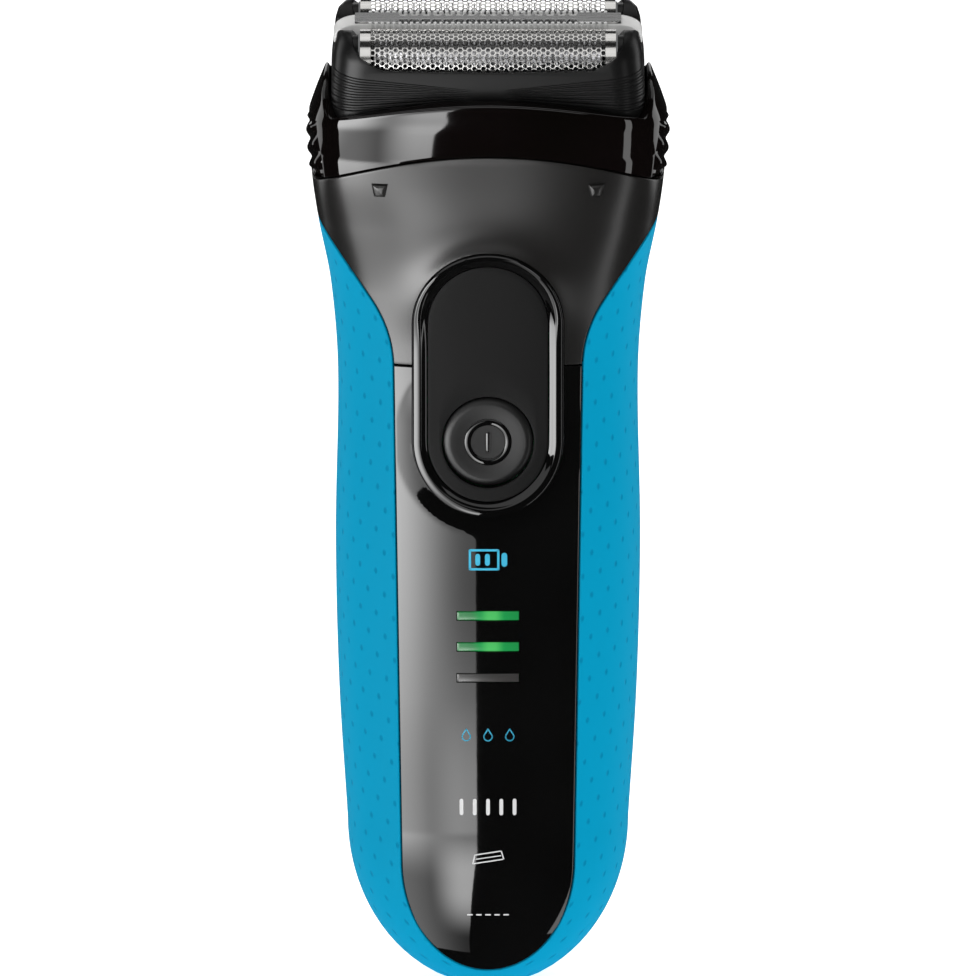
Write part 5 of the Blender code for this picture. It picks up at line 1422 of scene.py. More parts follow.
@dataclass(frozen=True)
class PanelPrint:
    """Plain pictograms printed on the front panel."""

    proud: float = 0.015
    depth: float = 0.03

    def patch(self, name: str, strokes: Sequence[Stroke], finish: Finish) -> None:
        """Lay strokes on the panel as one thin printed piece.

        Args:
            name: Name of the piece.
            strokes: Strokes in the XZ plane.
            finish: Ink of the print.
        """
        made = []
        for stroke in strokes:
            grid = [[FORM.face(p.x, p.y, Side.FRONT) - Vector((0.0, self.proud, 0.0)) for p in pair]
                    for pair in stroke]
            made.append(thicken(grid_mesh(name, grid), self.depth, 0.0))
        dress(merge(made, name), finish, "handle", angle=60.0)

    @staticmethod
    def strip(x_a: float, z_a: float, x_b: float, z_b: float, width: float) -> Stroke:
        """A straight stroke with round ends, as pairs of points across it."""
        length, half = math.hypot(x_b - x_a, z_b - z_a), width / 2
        along = Vector(((x_b - x_a) / length, (z_b - z_a) / length))
        across = Vector((-along.y, along.x))
        stations = [-half * math.cos(math.radians(90) * i / 4) for i in range(5)]
        stations += [length * i / max(2, int(length / 0.4)) for i in range(1, max(2, int(length / 0.4)))]
        stations += [length + half * math.sin(math.radians(90) * i / 4) for i in range(5)]
        pairs = []
        for place in stations:
            over = max(-place, place - length, 0.0)
            reach = max(0.01, math.sqrt(max(0.0, half * half - over * over)))
            middle = Vector((x_a, z_a)) + along * place
            pairs.append((middle - across * reach, middle + across * reach))
        return pairs

    def polyline(self, points: Flat, width: float) -> list[Stroke]:
        """Strokes along a line of points."""
        return [self.strip(*a, *b, width) for a, b in zip(points, points[1:])]

    def drop(self, x: float, z: float, size: float, width: float) -> list[Stroke]:
        """Outline of a water drop."""
        ring = []
        for i in range(25):
            angle = 2 * math.pi * i / 24
            pull = max(0.0, math.sin(angle)) ** 6
            ring.append((x + size * 0.55 * math.cos(angle) * (1 - 0.55 * pull),
                         z + size * (0.55 * math.sin(angle) + 0.5 * pull)))
        return self.polyline(ring, width)

    def build(self) -> None:
        """Print a battery sign, drops, plain bars, a cassette sign and a dotted line."""
        battery = self.polyline([(-3.0, 75.4), (1.7, 75.4), (1.7, 72.2), (-3.0, 72.2), (-3.0, 75.4)], 0.38)
        battery += [self.strip(2.7, 74.5, 2.7, 73.1, 0.95), self.strip(-1.7, 74.4, -1.7, 73.2, 0.8),
                    self.strip(-0.1, 74.4, -0.1, 73.2, 0.8)]
        self.patch("print_battery_sign", battery, CYAN_PRINT)
        drops = [line for x in (-3.6, 0.0, 3.6) for line in self.drop(x, 43.8, 1.25, 0.2)]
        self.patch("print_water_drops", drops, CYAN_PRINT)
        bars = [self.strip(x, 30.7, x, 32.9, 0.62) for x in (-4.4, -2.2, 0.0, 2.2, 4.4)]
        self.patch("print_plain_bars", bars, PALE_PRINT)
        sign = self.polyline([(-2.5, 22.1), (-2.2, 23.6), (2.2, 24.3), (2.6, 22.9), (-2.5, 22.1)], 0.2)
        sign += self.polyline([(-1.9, 22.9), (2.1, 23.5)], 0.16)
        self.patch("print_cassette_sign", sign, PALE_PRINT)
        dots = [self.strip(x - 0.35, 13.2, x + 0.35, 13.2, 0.24) for x in (-3.0, -1.5, 0.0, 1.5, 3.0)]
        self.patch("print_dotted_line", dots, PALE_PRINT)


# --- Head ------------------------------------------------------------------------------

@dataclass(frozen=True)
class ReleaseButtons:
    """Side buttons shaped as three overlapping gills that wrap the collar's front corners."""

    scales: int = 3
    swell: float = 0.75
    sink: float = 0.35
    wall: float = 0.9
    travel: float = 1.3
    slant: float = 0.3
    front: float = -11.6
    rows: int = 84
    columns: int = 40
    gap: float = 0.2

    def reach(self, back: float, z: float, grow: float) -> tuple[float, float]:
        """Angles on the skin of the button's front and back edges."""
        _, front, deep, squareness = FORM.spread(z)
        lean = FORM.lean(z)
        ends = []
        for y, depth in ((self.front - grow, front), (back + grow, deep)):
            share = min(0.99, abs(y - lean) / depth)
            ends.append(math.copysign(math.asin(share ** (squareness / 2)), y - lean))
        return ends[0], ends[1]

    def window(self, side: int, node: str) -> bpy.types.Object:
        """Cutter for the button's window in the collar."""
        low, high = box_mm(node)
        z = (low.z + high.z) / 2
        start, end = self.reach(high.y, z, self.gap)
        line = [FORM.skin(start + (end - start) * i / 30, z, self.wall + self.sink + 0.15) for i in range(31)]
        outline = [(side * (p.x - self.travel), p.y) for p in line]
        outline += [(side * 45.0, line[-1].y), (side * 45.0, line[0].y)]
        return slab("window", outline, low.z - self.gap, high.z + self.gap, lambda x, y, z: Vector((x, y, z)))

    def build(self) -> None:
        """Make the left and the right button."""
        for side, name in ((-1, "left"), (1, "right")):
            node = f"release_button_{name}"
            low, high = box_mm(node)
            grid: Grid = []
            for i in range(self.rows + 1):
                z = high.z - (high.z - low.z) * i / self.rows
                start, end = self.reach(high.y, z, 0.0)
                row = []
                for j in range(self.columns + 1):
                    theta = start + (end - start) * j / self.columns
                    base = FORM.skin(theta, z)
                    turn = (high.z - z - self.slant * (base.y - high.y)) / (high.z - low.z) * self.scales
                    phase = turn % 1.0
                    shape = math.sin(math.pi * phase ** 1.3)
                    crown = (eased(min(j, self.columns - j) / self.columns, 0.0, 0.3)
                             * eased(min(i, self.rows - i) / self.rows, 0.0, 0.12))
                    point = FORM.skin(theta, z, self.sink - self.swell * shape * crown)
                    row.append(Vector((side * point.x, point.y, z)))
                grid.append(row)
            button = grid_mesh(f"{node}_gills", grid, outward=lambda point: Vector((point.x, 0.0, 0.0)))
            thicken(button, self.wall, 0.0)
            dress(button, COLLAR_BLACK, f"release_{name}", [node], 50.0)


@dataclass(frozen=True)
class CassetteFrame:
    """Moulded frame of the shaving cassette, with its four rounded ears."""

    half_length: float = 25.9
    half_depth: float = 13.0
    corner: float = 5.2
    floor: float = 0.4
    lip: float = 13.0
    top: float = 18.0
    inner_length: float = 22.2
    inner_depth: float = 12.05
    step: float = 12.9
    foil_length: float = 21.3
    ear_start: float = 17.3
    ear_end: float = 22.5
    ear_sweep: float = 2.2
    ear_centre: float = 7.6
    ear_half: float = 6.3
    ear_base: float = 12.2
    ear_rise: float = 5.6
    foil_gap: float = 0.18
    plug_radius: float = 4.2
    plug_end: float = 23.4
    slot_half: float = 3.2
    slot_floor: float = 12.5
    edge: float = 0.25

    def insets(self, h: float) -> tuple[float, float]:
        """How far the sides and the long faces come in at a height."""
        table = ((0.4, 0.0, 0.0), (8.0, 0.0, 0.0), (12.0, 0.4, 0.2), (13.0, 0.5, 0.35), (14.8, 0.7, 0.6),
                 (16.4, 1.1, 1.25), (17.5, 1.8, 2.3), (18.0, 2.5, 3.3))
        for (h_a, s_a, l_a), (h_b, s_b, l_b) in zip(table, table[1:]):
            if h <= h_b:
                t = (h - h_a) / (h_b - h_a)
                return s_a + (s_b - s_a) * t, l_a + (l_b - l_a) * t
        return table[-1][1], table[-1][2]

    def levels(self) -> list[float]:
        """Heights of the outside's rings, closest together at the top."""
        return [self.floor, 1.5, 4.0, 7.0, 9.0, 11.0, 12.0, 12.6, 13.3, 14.0, 14.8, 15.6, 16.4, 17.0,
                17.5, 17.8, 18.0]

    def build(self) -> None:
        """Loft the outside, then cut the inside, the window and the trimmer's slot."""
        rings: Grid = []
        for h in self.levels():
            side, long = self.insets(h)
            outline = rounded(self.half_length - side, self.half_depth - long, self.corner, 12)
            rings.append([Vector((x, w, h)) for x, w in outline])
        outside = grid_mesh("cassette_frame_shell", rings, closed=True)
        pick(outside)
        bpy.ops.object.mode_set(mode="EDIT")
        bpy.ops.mesh.select_all(action="SELECT")
        bpy.ops.mesh.region_to_loop()
        bpy.ops.mesh.edge_face_add()
        bpy.ops.object.mode_set(mode="OBJECT")
        self.close_ends(outside, len(rings), len(rings[0]))
        foils = ShavingFoils()
        deep, length = self.inner_depth, self.inner_length
        cut(outside, block("inside", (-length, -deep, -5.0), (length, deep, self.step)))
        arch = [(foils.centre + foils.radius + self.foil_gap, self.step - 0.5)]
        arch += self.arch(foils.centre, foils.arch_height, foils.radius + self.foil_gap, 0.9)
        arch += [(-w, h) for w, h in reversed(arch)]
        cut(outside, slab("foil_room", arch, -self.foil_length, self.foil_length, lambda w, h, x: Vector((x, w, h))))
        run, rise = self.ear_end - self.ear_start, self.top - self.lip
        curve = [(0.0, self.lip - 0.45), (8.0, self.lip - 0.35), (13.0, self.lip - 0.2)]
        curve += [(self.ear_start + run * (1 - (1 - i / 24) ** self.ear_sweep), self.lip - 0.1 + rise * i / 24)
                  for i in range(25)]
        curve.append((self.ear_end, 24.0))
        window = curve + [(-x, h) for x, h in reversed(curve)][:-1]
        cut(outside, slab("window", window, -30.0, 30.0, lambda x, h, w: Vector((x, w, h))))
        cut(outside, slab("ears", self.ear_outline(), -40.0, 40.0, lambda w, h, x: Vector((x, w, h))))
        for side in (-1, 1):
            plug = [(side * w, h) for w, h in self.arch(foils.centre, foils.arch_height - 0.6, self.plug_radius, 1.0)]
            for start, end in ((-self.plug_end, -self.foil_length), (self.foil_length, self.plug_end)):
                cut(outside, slab("plug", plug, start, end, lambda w, h, x: Vector((x, w, h))), "UNION")
        add_bevel(outside, self.edge, 3, 42.0)
        outside.modifiers[0].use_clamp_overlap = True
        bake(outside)
        HEAD.turn(outside)
        dress(outside, CASSETTE_BLACK, "cassette", ["cassette_frame"], 32.0)

    @staticmethod
    def arch(middle: float, height: float, radius: float, share: float) -> list[tuple[float, float]]:
        """Points over a half circle, from the outer side inwards, or over a share of it."""
        turns = [math.pi * share * i / 24 for i in range(25)]
        return [(middle + radius * math.cos(turn), height + radius * math.sin(turn)) for turn in turns]

    def ear_outline(self) -> list[tuple[float, float]]:
        """Outline of all that's cut away above the ears' crowns and between them."""
        crown = []
        for i in range(33):
            w = self.slot_half + (self.ear_centre + self.ear_half - 0.05 - self.slot_half) * i / 32
            share = (w - self.ear_centre) / self.ear_half
            crown.append((w, self.ear_base + self.ear_rise * math.sqrt(1.0 - share * share)))
        right = [(self.slot_half, self.slot_floor)] + crown + [(20.0, self.ear_base), (20.0, 30.0)]
        return right + [(-w, h) for w, h in reversed(right)]

    @staticmethod
    def close_ends(obj: bpy.types.Object, rows: int, columns: int) -> None:
        """Rebuild the loft as a closed solid with a flat floor and top."""
        points = [vertex.co.copy() / MM for vertex in obj.data.vertices]
        faces: list[Sequence[int]] = []
        for i in range(rows - 1):
            for j in range(columns):
                k = (j + 1) % columns
                faces.append((i * columns + j, i * columns + k, (i + 1) * columns + k, (i + 1) * columns + j))
        faces.append(list(range(columns)))
        faces.append(list(range((rows - 1) * columns, rows * columns)))
        mesh = bpy.data.meshes.new(obj.name)
        mesh.from_pydata([tuple(point * MM) for point in points], [], faces)
        obj.data = mesh
        weld(obj, True)


@dataclass(frozen=True)
class ShavingFoils:
    """Two arched foils, pierced all over in staggered hexagons."""

    centre: float = 7.25
    radius: float = 4.6
    arch_height: float = 13.4
    foot: float = 11.0
    half_length: float = 21.1
    pitch_x: float = 0.76
    pitch_v: float = 0.88
    hole: float = 0.8
    gauge: float = 0.08
    pierced_half: float = 19.4

    def bend(self, x: float, v: float, middle: float) -> Vector:
        """A place on the flat sheet, bent over the arch."""
        quarter = math.pi / 2 * self.radius
        if abs(v) <= quarter:
            turn = v / self.radius
            return Vector((x, middle + self.radius * math.sin(turn), self.arch_height + self.radius * math.cos(turn)))
        return Vector((x, middle + math.copysign(self.radius, v), self.arch_height - (abs(v) - quarter)))

    def sheet(self, name: str, middle: float) -> bpy.types.Object:
        """The pierced sheet of one foil.

        Args:
            name: Name of the piece.
            middle: The foil's place from front to rear.

        Returns:
            The foil.
        """
        reach = math.pi / 2 * self.radius + self.arch_height - self.foot
        columns = int(self.pierced_half / self.pitch_x)
        rows = int(reach / self.pitch_v)
        side = columns * self.pitch_x + 0.38
        corner_x = (0.5074, 0.2526, -0.2526, -0.5074, -0.2526, 0.2526)
        corner_v = (0.0, 0.44, 0.44, 0.0, -0.44, -0.44)
        points: list[Vector] = []
        faces: list[Sequence[int]] = []
        for i in range(-columns, columns + 1):
            shift = 0.5 if i % 2 else 0.0
            for k in range(-rows, rows + 1):
                x, v = i * self.pitch_x, (k + shift) * self.pitch_v
                if abs(v) > reach - 0.44:
                    continue
                base = len(points)
                for share in (1.0, self.hole):
                    for dx, dv in zip(corner_x, corner_v):
                        px = max(-side, min(side, x + dx * share)) if share == 1.0 else x + dx * share
                        points.append(self.bend(px, v + dv * share, middle))
                for a in range(6):
                    b = (a + 1) % 6
                    faces.append((base + a, base + b, base + 6 + b, base + 6 + a))
        steps = 2 * int(2 * rows + 1)
        for end in (-1, 1):
            base = len(points)
            for i in range(steps + 1):
                v = -reach + 2 * reach * i / steps
                points += [self.bend(end * (side - 0.02), v, middle), self.bend(end * self.half_length, v, middle)]
            faces += [(base + 2 * i, base + 2 * i + 1, base + 2 * i + 3, base + 2 * i + 2) for i in range(steps)]
        for end in (-1, 1):
            base = len(points)
            for i in range(61):
                x = -side + 2 * side * i / 60
                points += [self.bend(x, end * (reach - 0.75), middle), self.bend(x, end * reach, middle)]
            faces += [(base + 2 * i, base + 2 * i + 1, base + 2 * i + 3, base + 2 * i + 2) for i in range(60)]
        return self.face_away(raw_mesh(name, points, faces), middle)

    def face_away(self, foil: bpy.types.Object, middle: float) -> bpy.types.Object:
        """Turn every face of the sheet away from the arch's inside and give it its gauge."""
        axis = Vector((0.0, middle * MM, (self.arch_height - 1.5) * MM))
        for polygon in foil.data.polygons:
            away = polygon.center - axis
            away.x = 0.0
            if polygon.normal.dot(away) < 0.0:
                polygon.flip()
        foil.data.update()
        return thicken(foil, self.gauge, 0.0)

    def build(self) -> None:
        """Make both foils and the blade pack under each."""
        for name, side in (("front", -1), ("rear", 1)):
            foil = self.sheet(f"foil_{name}_pierced", side * self.centre)
            dress(HEAD.turn(foil), FOIL_STEEL, f"foil_unit_{name}", [f"foil_{name}"], 30.0)
            self.blades(name, side * self.centre)

    def blades(self, name: str, middle: float) -> None:
        """The cutter: a pack of thin arched blades on a spine."""
        outline = []
        for i in range(17):
            angle = math.pi * i / 16
            outline.append((middle + 3.55 * math.cos(angle), self.arch_height + 3.55 * math.sin(angle)))
        outline += [(middle - 3.3, 10.4), (middle + 3.3, 10.4)]
        blade = slab("blade", outline, -0.12, 0.12, lambda w, h, x: Vector((x, w, h)))
        pack = copies(blade, [Vector((-18.6 + 37.2 * i / 41, 0.0, 0.0)) for i in range(42)], "pack")
        spine = block("spine", (-18.9, middle - 2.3, 10.0), (18.9, middle + 2.3, 15.2), 0.4)
        boss = bar("boss", 1.9, (0.0, middle, 8.9), (0.0, middle, 10.6), 24, 0.2)
        piece = merge([pack, spine, boss], f"cutter_{name}_blades")
        dress(HEAD.turn(piece), BLADE_STEEL, f"cutter_unit_{name}", [f"cutter_{name}"])


@dataclass(frozen=True)
class MiddleTrimmer:
    """White holder with comb teeth, zigzag steel comb and the blade under it."""

    half_width: float = 2.3
    top: float = 17.2
    shoulder: float = 25.5
    stem: float = 21.3
    underside: float = 14.0
    foot: float = 9.5
    tooth_pitch: float = 0.97
    zigzag_pitch: float = 1.8
    plain_from: float = 14.9

    def holder(self) -> bpy.types.Object:
        """Holder whose shoulders curve down outside the ears."""
        edge = [(self.stem, self.foot), (self.stem, self.underside), (self.shoulder, self.underside)]
        for i in range(13):
            angle = math.radians(90.0) * i / 12
            edge.append((self.shoulder - (self.shoulder - self.stem) * (1 - math.cos(angle)),
                         self.underside + 0.8 + (self.top - self.underside - 0.8) * math.sin(angle)))
        outline = edge + [(-x, h) for x, h in reversed(edge)]
        body = slab("holder", outline, -self.half_width, self.half_width, lambda x, h, w: Vector((x, w, h)))
        cut(body, block("trough", (-19.6, -1.9, 15.7), (19.6, 1.9, 30.0)))
        cut(body, block("stem_slot", (-2.9, -1.2, 0.0), (2.9, 1.2, 30.0)))
        add_bevel(body, 0.3, 3, 40.0)
        body.modifiers[0].use_clamp_overlap = True
        return bake(body)

    def teeth(self) -> bpy.types.Object:
        """Rounded comb teeth along both edges of the holder."""
        tooth = block("tooth", (-0.3, -0.32, 16.4), (0.3, 0.32, 17.72), 0.2, 2)
        count = int(20.0 / self.tooth_pitch)
        places = [Vector((i * self.tooth_pitch, side * 2.5, 0.0)) for side in (-1, 1)
                  for i in range(-count, count + 1)]
        return copies(tooth, places, "teeth")

    def zigzag(self, half: float, reach: float, root: float, low: float, high: float,
               shift: float) -> bpy.types.Object:
        """A steel strip with triangular teeth on both edges and plain ends.

        Args:
            half: Half of its length.
            reach: Half width at the teeth's points.
            root: Half width at their roots.
            low: Height of its underside.
            high: Height of its top.
            shift: Shift of the teeth along the strip.

        Returns:
            The strip in head coordinates.
        """
        plain = min(self.plain_from, half - 1.0)
        edge: list[tuple[float, float]] = [(-half, -reach), (-plain, -reach)]
        count = int(2 * plain / self.zigzag_pitch)
        for i in range(count):
            x = -plain + (i + 0.5) * 2 * plain / count + shift
            edge += [(x - 0.28 * self.zigzag_pitch, -root), (x + 0.28 * self.zigzag_pitch, -root),
                     (x + 0.5 * self.zigzag_pitch - 0.1, -reach)]
        edge[-1] = (plain, -reach)
        edge += [(half, -reach)]
        outline = edge + [(-x, -w) for x, w in edge]
        strip = slab("strip", outline, low, high, lambda x, w, h: Vector((x, w, h)))
        add_bevel(strip, 0.05, 1, 60.0)
        return bake(strip)

    def build(self) -> None:
        """Make the holder, the comb and the blade."""
        holder = merge([self.holder(), self.teeth()], "trimmer_holder_comb")
        dress(HEAD.turn(holder), WHITE_PLASTIC, "middle_trimmer", ["trimmer_holder"])
        comb = self.zigzag(22.0, 2.05, 0.75, 17.25, 17.6, 0.0)
        comb.name = comb.data.name = "middle_trimmer_zigzag"
        dress(HEAD.turn(comb), STEEL, "middle_trimmer", ["middle_trimmer_comb"])
        blade = self.zigzag(17.8, 1.75, 0.7, 16.55, 17.25, 0.45)
        stem = block("stem", (-1.2, -0.66, 6.3), (1.2, 0.66, 16.8), 0.1)
        piece = merge([blade, stem], "middle_trimmer_blade_strip")
        dress(HEAD.turn(piece), BLADE_STEEL, "middle_blade", ["middle_trimmer_blade"])


# --- Back of the handle ----------------------------------------------------------------

@dataclass(frozen=True)
class RearTrimmer:
    """Pop-up trimmer: carriage, ridged thumb piece, comb and blade."""

    half_width: float = 12.5
    floor: float = 14.6
    proud: float = 0.8
    corner: float = 3.0
    teeth: int = 23

    def channel(self) -> bpy.types.Object:
        """Cutter for the carriage's channel in the back of the housing and the collar."""
        low, _ = box_mm("rear_trimmer_carriage")
        reach = self.half_width + 0.2
        return block("channel", (-reach, self.floor, low.z - 0.2), (reach, 60.0, 200.0))

    def carriage(self) -> bpy.types.Object:
        """Carriage plate that follows the handle's back."""
        low, high = box_mm("rear_trimmer_carriage")
        rows, columns = 44, 40
        grid: Grid = []
        for i in range(rows + 1):
            z = low.z - 1.0 + (high.z - low.z + 2.0) * i / rows
            grid.append([FORM.face(-self.half_width - 1.0 + (2 * self.half_width + 2.0) * j / columns, z, Side.BACK)
                         + Vector((0.0, self.proud, 0.0)) for j in range(columns + 1)])
        plate = thicken(grid_mesh("rear_carriage_plate", grid), 1.6, 0.0)
        middle = (low.z + high.z) / 2
        outline = [(x, z + middle) for x, z in rounded(self.half_width, (high.z - low.z) / 2, self.corner, 10)]
        cut(plate, slab("outline", outline, 14.9, 40.0, lambda x, z, y: Vector((x, y, z))), "INTERSECT")
        add_bevel(plate, 0.25, 3, 50.0)
        return bake(plate)

    def thumb(self) -> bpy.types.Object:
        """Thumb piece with seven cross ridges."""
        low, high = box_mm("rear_trimmer_thumb")
        body = block("thumb_body", low, high - Vector((0.0, 0.5, 0.0)), 0.45, 4)
        ridge = bar("ridge", 0.42, (low.x + 0.7, high.y - 0.55, 0.0), (high.x - 0.7, high.y - 0.55, 0.0), 16, 0.15)
        places = [Vector((0.0, 0.0, low.z + 1.4 + (high.z - low.z - 2.8) * i / 6)) for i in range(7)]
        return merge([body, copies(ridge, places, "ridges")], "rear_thumb_ridged")

    def row_of_teeth(self, node: str, name: str, taper: float) -> bpy.types.Object:
        """A strip with a row of tapered teeth along its top.

        Args:
            node: The CAD node whose place it takes.
            name: Name of the piece.
            taper: Width of a tooth's point as a share of its root.

        Returns:
            The strip.
        """
        low, high = box_mm(node)
        pitch = (high.x - low.x) / self.teeth
        strip = block("strip", low, (high.x, high.y, high.z - 2.2), 0.12, 1)
        tooth = block("tooth", (-0.31 * pitch, low.y, high.z - 2.4), (0.31 * pitch, high.y, high.z))
        for vertex in tooth.data.vertices:
            if vertex.co.z > (high.z - 0.1) * MM:
                vertex.co.x *= taper
                vertex.co.y += (low.y - high.y) * 0.35 * MM if vertex.co.y > (low.y + high.y) / 2 * MM else 0.0
        add_bevel(tooth, 0.06, 2, 30.0)
        bake(tooth)
        places = [Vector((low.x + (i + 0.5) * pitch, 0.0, 0.0)) for i in range(self.teeth)]
        return merge([strip, copies(tooth, places, "teeth")], name)

    def build(self) -> None:
        """Make every piece of the rear trimmer."""
        dress(self.carriage(), SATIN_BACK, "rear_trimmer", ["rear_trimmer_carriage"])
        dress(self.thumb(), RUBBER_BLACK, "rear_trimmer", ["rear_trimmer_thumb"])
        comb = self.row_of_teeth("rear_trimmer_comb", "rear_comb_teeth", 0.45)
        dress(comb, STEEL, "rear_trimmer", ["rear_trimmer_comb"])
        blade = self.row_of_teeth("rear_trimmer_blade", "rear_blade_teeth", 0.6)
        dress(blade, BLADE_STEEL, "rear_blade", ["rear_trimmer_blade"])


@dataclass(frozen=True)
class ChargingInlet:
    """Inlet in the base, with its two pins."""

    wall: float = 1.2
    depth: float = 8.0

    def build(self) -> None:
        """Make the inlet's body from a block, and the domed pins."""
        low, high = box_mm("charging_inlet")
        half_length, half_width = 5.3, 4.2
        outline = rounded(half_length, half_width, half_width - 0.01, 16)
        body = slab("charging_inlet_body", outline, 0.02, high.z, lambda x, y, z: Vector((x, y, z)))
        inner = rounded(half_length - self.wall, half_width - self.wall, half_width - self.wall - 0.01, 16)
        cut(body, slab("recess", inner, -2.0, self.depth, lambda x, y, z: Vector((x, y, z))))
        add_bevel(body, 0.25, 3, 50.0)
        bake(body)
        dress(body, RUBBER_BLACK, "handle", ["charging_inlet"])
        for name in ("left", "right"):
            node = f"charging_pin_{name}"
            low, high = box_mm(node)
            x = (low.x + high.x) / 2
            pin = bar(f"{node}_domed", (high.x - low.x) / 2, (x, 0.0, low.z), (x, 0.0, high.z), 32, 0.35)
            dress(pin, BRASS, "handle", [node])


@dataclass(frozen=True)
class DriveHead:
    """What shows when the cassette is lifted: the bellows round the drive pin."""

    def build(self) -> None:
        """Make the pleated bellows."""
        profile = [(4.5, -0.2), (4.5, 0.25), (4.25, 0.45), (4.0, 0.3), (3.75, 0.7), (3.5, 0.5), (3.3, 0.95),
                   (3.15, 1.0), (3.1, 0.8), (3.1, -0.2), (4.5, -0.2)]
        foot, axis = HEAD.place(0, 0, 0), HEAD.place(0, 0, 1) - HEAD.place(0, 0, 0)
        bellows = turned("bellows_pleats", profile, foot, axis, 72)
        dress(bellows, RUBBER_BLACK, "handle", ["bellows_seal"], 25.0)


@dataclass(frozen=True)
class InnerWorks:
    """CAD nodes that keep their shape and take a worked finish."""

    finishes: tuple[tuple[Finish, tuple[str, ...]], ...] = (
        (GREY_PLASTIC, ("chassis", "key_switch", "cassette_base", "foil_frame_front", "foil_frame_rear")),
        (SATIN_BACK, ("head_deck",)),
        (RUBBER_BLACK, ("inlet_seal",)),
        (WHITE_PLASTIC, ("cutter_carrier", "drive_bridge", "drive_crank")),
        (STEEL, ("drive_pin", "motor_can", "board_screw_lower", "board_screw_upper", "motor_screw_left",
                 "motor_screw_right", "cutter_spring_front", "cutter_spring_rear", "release_spring_left",
                 "release_spring_right")),
        (BLADE_STEEL, ("motor_rotor",)),
        (BRASS, ("battery_contact_left", "battery_contact_right", "battery_link")),
        (BOARD_GREEN, ("main_board",)),
        (CELL_WRAP, ("battery_left", "battery_right")),
    )

    def build(self, nodes: dict[str, bpy.types.Object]) -> None:
        """Give each node its finish."""
        for finish, names in self.finishes:
            for name in names:
                node = nodes[name]
                node.data.materials.clear()
                node.data.materials.append(finish.material())
                LOG.info("%s: finish %s", name, finish.name)


# --- Studio ----------------------------------------------------------------------------

@dataclass(frozen=True)
class Softbox:
    """One area light aimed at the shaver, placed by direction."""

    name: str
    azimuth: float
    elevation: float
    distance: float
    width: float
    height: float
    strength: float

    def build(self, target: Vector) -> None:
        """Add the light, facing the target."""
        a, e = math.radians(self.azimuth), math.radians(self.elevation)
        away = Vector((math.sin(a) * math.cos(e), -math.cos(a) * math.cos(e), math.sin(e)))
        data = bpy.data.lights.new(self.name, "AREA")
        data.shape = "RECTANGLE"
        data.size, data.size_y = self.width, self.height
        data.energy = self.strength * self.width * self.height * math.pi
        lamp = bpy.data.objects.new(self.name, data)
        lamp.location = target + away * self.distance
        lamp.rotation_mode = "QUATERNION"
        lamp.rotation_quaternion = away.to_track_quat("Z", "Y")
        lamp.visible_camera = False
        bpy.context.scene.collection.objects.link(lamp)


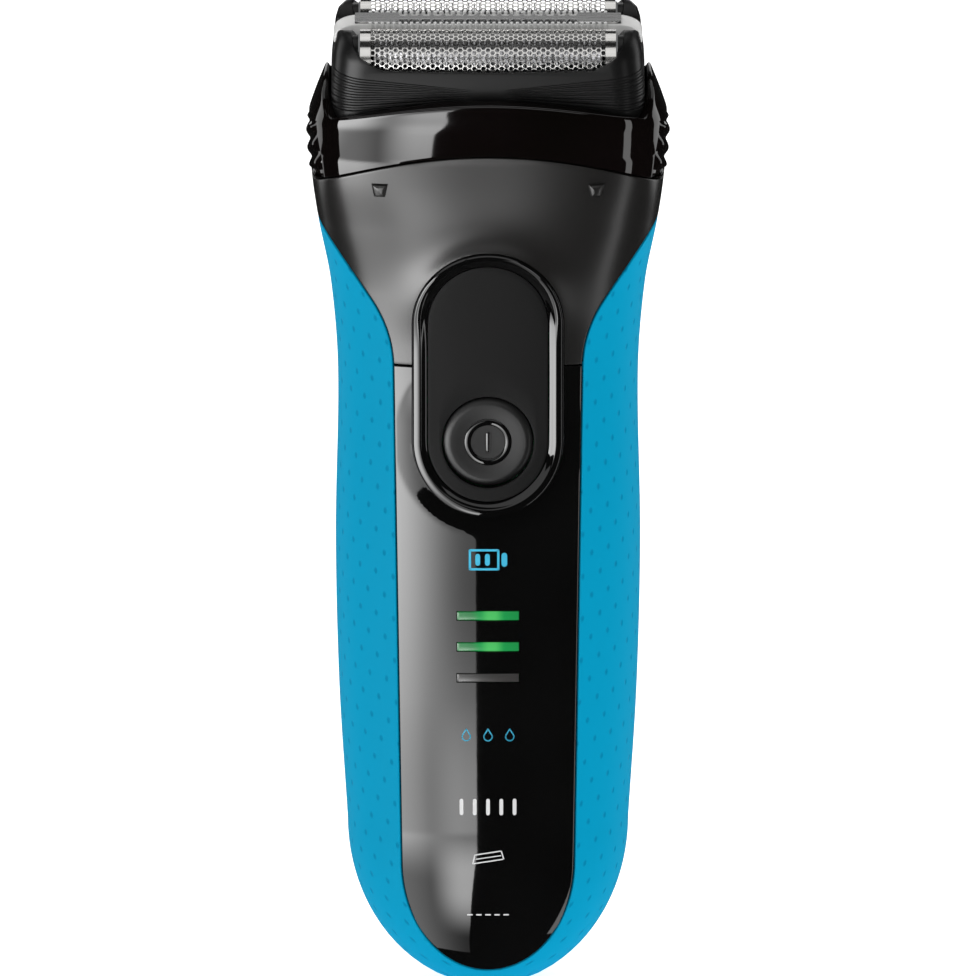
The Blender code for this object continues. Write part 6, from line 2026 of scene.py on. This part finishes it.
@dataclass(frozen=True)
class Studio:
    """Pale floor, soft light and the camera."""

    distance: float = 5.0
    elevation: float = 12.0
    frame_height: float = 0.16182
    aim_height: float = 0.08262
    fill: float = 0.42
    dim: float = 0.012
    boxes: tuple[Softbox, ...] = (
        Softbox("front_top_box", -18.0, 35.0, 0.9, 1.5, 0.60, 0.95),
        Softbox("overhead_box", 180.0, 79.0, 0.9, 1.3, 0.66, 0.95),
        Softbox("right_strip", 54.0, -25.0, 0.9, 0.13, 0.9, 2.6),
        Softbox("left_side_box", -118.0, 8.0, 0.9, 0.4, 0.9, 1.6),
        Softbox("right_side_box", 118.0, 8.0, 0.9, 0.4, 0.9, 1.6),
        Softbox("back_box", 180.0, 20.0, 1.1, 0.9, 0.5, 1.0),
    )
    card_edge: tuple[tuple[float, float], ...] = ((4.0, -2.2), (-20.0, -2.2), (-42.0, -6.5), (-60.0, -12.0))
    card_end: float = -68.0
    card_radius: float = 900.0

    def camera(self) -> None:
        """Long lens looking slightly down at the front."""
        data = bpy.data.cameras.new("camera")
        data.sensor_width = 36.0
        data.lens = data.sensor_width * self.distance / self.frame_height
        camera = bpy.data.objects.new("camera", data)
        e = math.radians(self.elevation)
        back = Vector((0.0, -math.cos(e), math.sin(e)))
        camera.location = Vector((0.0, 0.0, self.aim_height)) + back * self.distance
        camera.rotation_mode = "QUATERNION"
        camera.rotation_quaternion = back.to_track_quat("Z", "Y")
        data.clip_start, data.clip_end = 0.1, 20.0
        bpy.context.scene.collection.objects.link(camera)
        bpy.context.scene.camera = camera

    def card(self) -> None:
        """Curved left card, plain by its upright right-hand edge and brighter away from it."""
        target, rows = Vector((0.0, 0.0, 90.0)), []
        for (el_a, az_a), (el_b, az_b) in zip(self.card_edge, self.card_edge[1:]):
            for i in range(6):
                t = i / 6
                rows.append((el_a + (el_b - el_a) * t, az_a + (az_b - az_a) * t))
        rows.append(self.card_edge[-1])
        grid = []
        for elevation, edge in rows:
            row = []
            for j in range(25):
                a, e = math.radians(edge + (self.card_end - edge) * j / 24), math.radians(elevation)
                away = Vector((math.sin(a) * math.cos(e), -math.cos(a) * math.cos(e), math.sin(e)))
                row.append(target + away * self.card_radius)
            grid.append(row)
        card = grid_mesh("left_card", grid)
        material = bpy.data.materials.new("left_card_light")
        material.use_nodes = True
        graph = Graph(material.node_tree)
        material.node_tree.nodes.clear()
        x, _, z = graph.split(graph.add("ShaderNodeTexCoord").outputs["Object"])
        side = graph.ramp(x, -0.03, -0.62, 1.6, 12.0)
        low = graph.math("MULTIPLY", graph.ramp(z, -0.10, -0.30), graph.ramp(z, -0.60, -0.36))
        lamp = graph.math("MULTIPLY", graph.ramp(x, -0.36, -0.10, 0.0, 8.0), low)
        rest = graph.math("MULTIPLY", side, graph.ramp(z, -0.06, -0.36, 1.0, 0.25))
        glow = graph.add("ShaderNodeEmission")
        graph.plug(glow.inputs["Strength"], graph.math("ADD", lamp, rest))
        graph.plug(graph.add("ShaderNodeOutputMaterial").inputs[0], glow.outputs[0])
        card.data.materials.append(material)
        card.visible_camera = card.visible_shadow = card.visible_diffuse = False

    def floor(self) -> None:
        """Pale floor that reads as white and keeps a soft contact shadow."""
        deselect()
        bpy.ops.mesh.primitive_circle_add(vertices=96, radius=3.0, fill_type="NGON", location=(0.0, 0.0, -0.0004))
        floor = settle(bpy.context.object)
        floor.name = floor.data.name = "floor"
        material = bpy.data.materials.new("pale_floor")
        material.use_nodes = True
        shader = material.node_tree.nodes["Principled BSDF"]
        shader.inputs["Base Color"].default_value = (0.90, 0.90, 0.90, 1.0)
        shader.inputs["Roughness"].default_value = 0.9
        shader.inputs["Emission Color"].default_value = (1.0, 1.0, 1.0, 1.0)
        shader.inputs["Emission Strength"].default_value = 0.8
        floor.data.materials.append(material)
        floor.visible_glossy = False
        floor.visible_shadow = False

    def world(self) -> None:
        """White behind the shaver, dim for everything that it lights or mirrors."""
        world = bpy.data.worlds.new("studio")
        bpy.context.scene.world = world
        world.use_nodes = True
        graph = Graph(world.node_tree)
        world.node_tree.nodes.clear()
        path = graph.add("ShaderNodeLightPath").outputs
        backdrop = graph.add("ShaderNodeBackground")
        seen = graph.math("MULTIPLY_ADD", path["Is Diffuse Ray"], self.fill, path["Is Camera Ray"])
        graph.plug(backdrop.inputs["Strength"], graph.math("MAXIMUM", seen, self.dim))
        graph.plug(graph.add("ShaderNodeOutputWorld").inputs[0], backdrop.outputs[0])

    def build(self) -> None:
        """Set up the camera, lights, card, floor and world."""
        bpy.context.scene.view_settings.view_transform = "Standard"
        target = Vector((0.0, 0.0, 0.09))
        self.camera()
        for softbox in self.boxes:
            softbox.build(target)
        self.card()
        self.floor()
        self.world()


def main() -> None:
    """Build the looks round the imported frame."""
    logging.basicConfig(level=logging.INFO, format="%(name)s: %(message)s")
    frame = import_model()
    Studio().build()
    Panels().build()
    GripJacket().build()
    UpperHousing().build()
    HeadCollar().build()
    SwitchPlate().build()
    ChargeLights().build()
    PanelPrint().build()
    ReleaseButtons().build()
    CassetteFrame().build()
    ShavingFoils().build()
    MiddleTrimmer().build()
    RearTrimmer().build()
    ChargingInlet().build()
    DriveHead().build()
    InnerWorks().build(frame["nodes"])


if __name__ == "__main__":
    main()
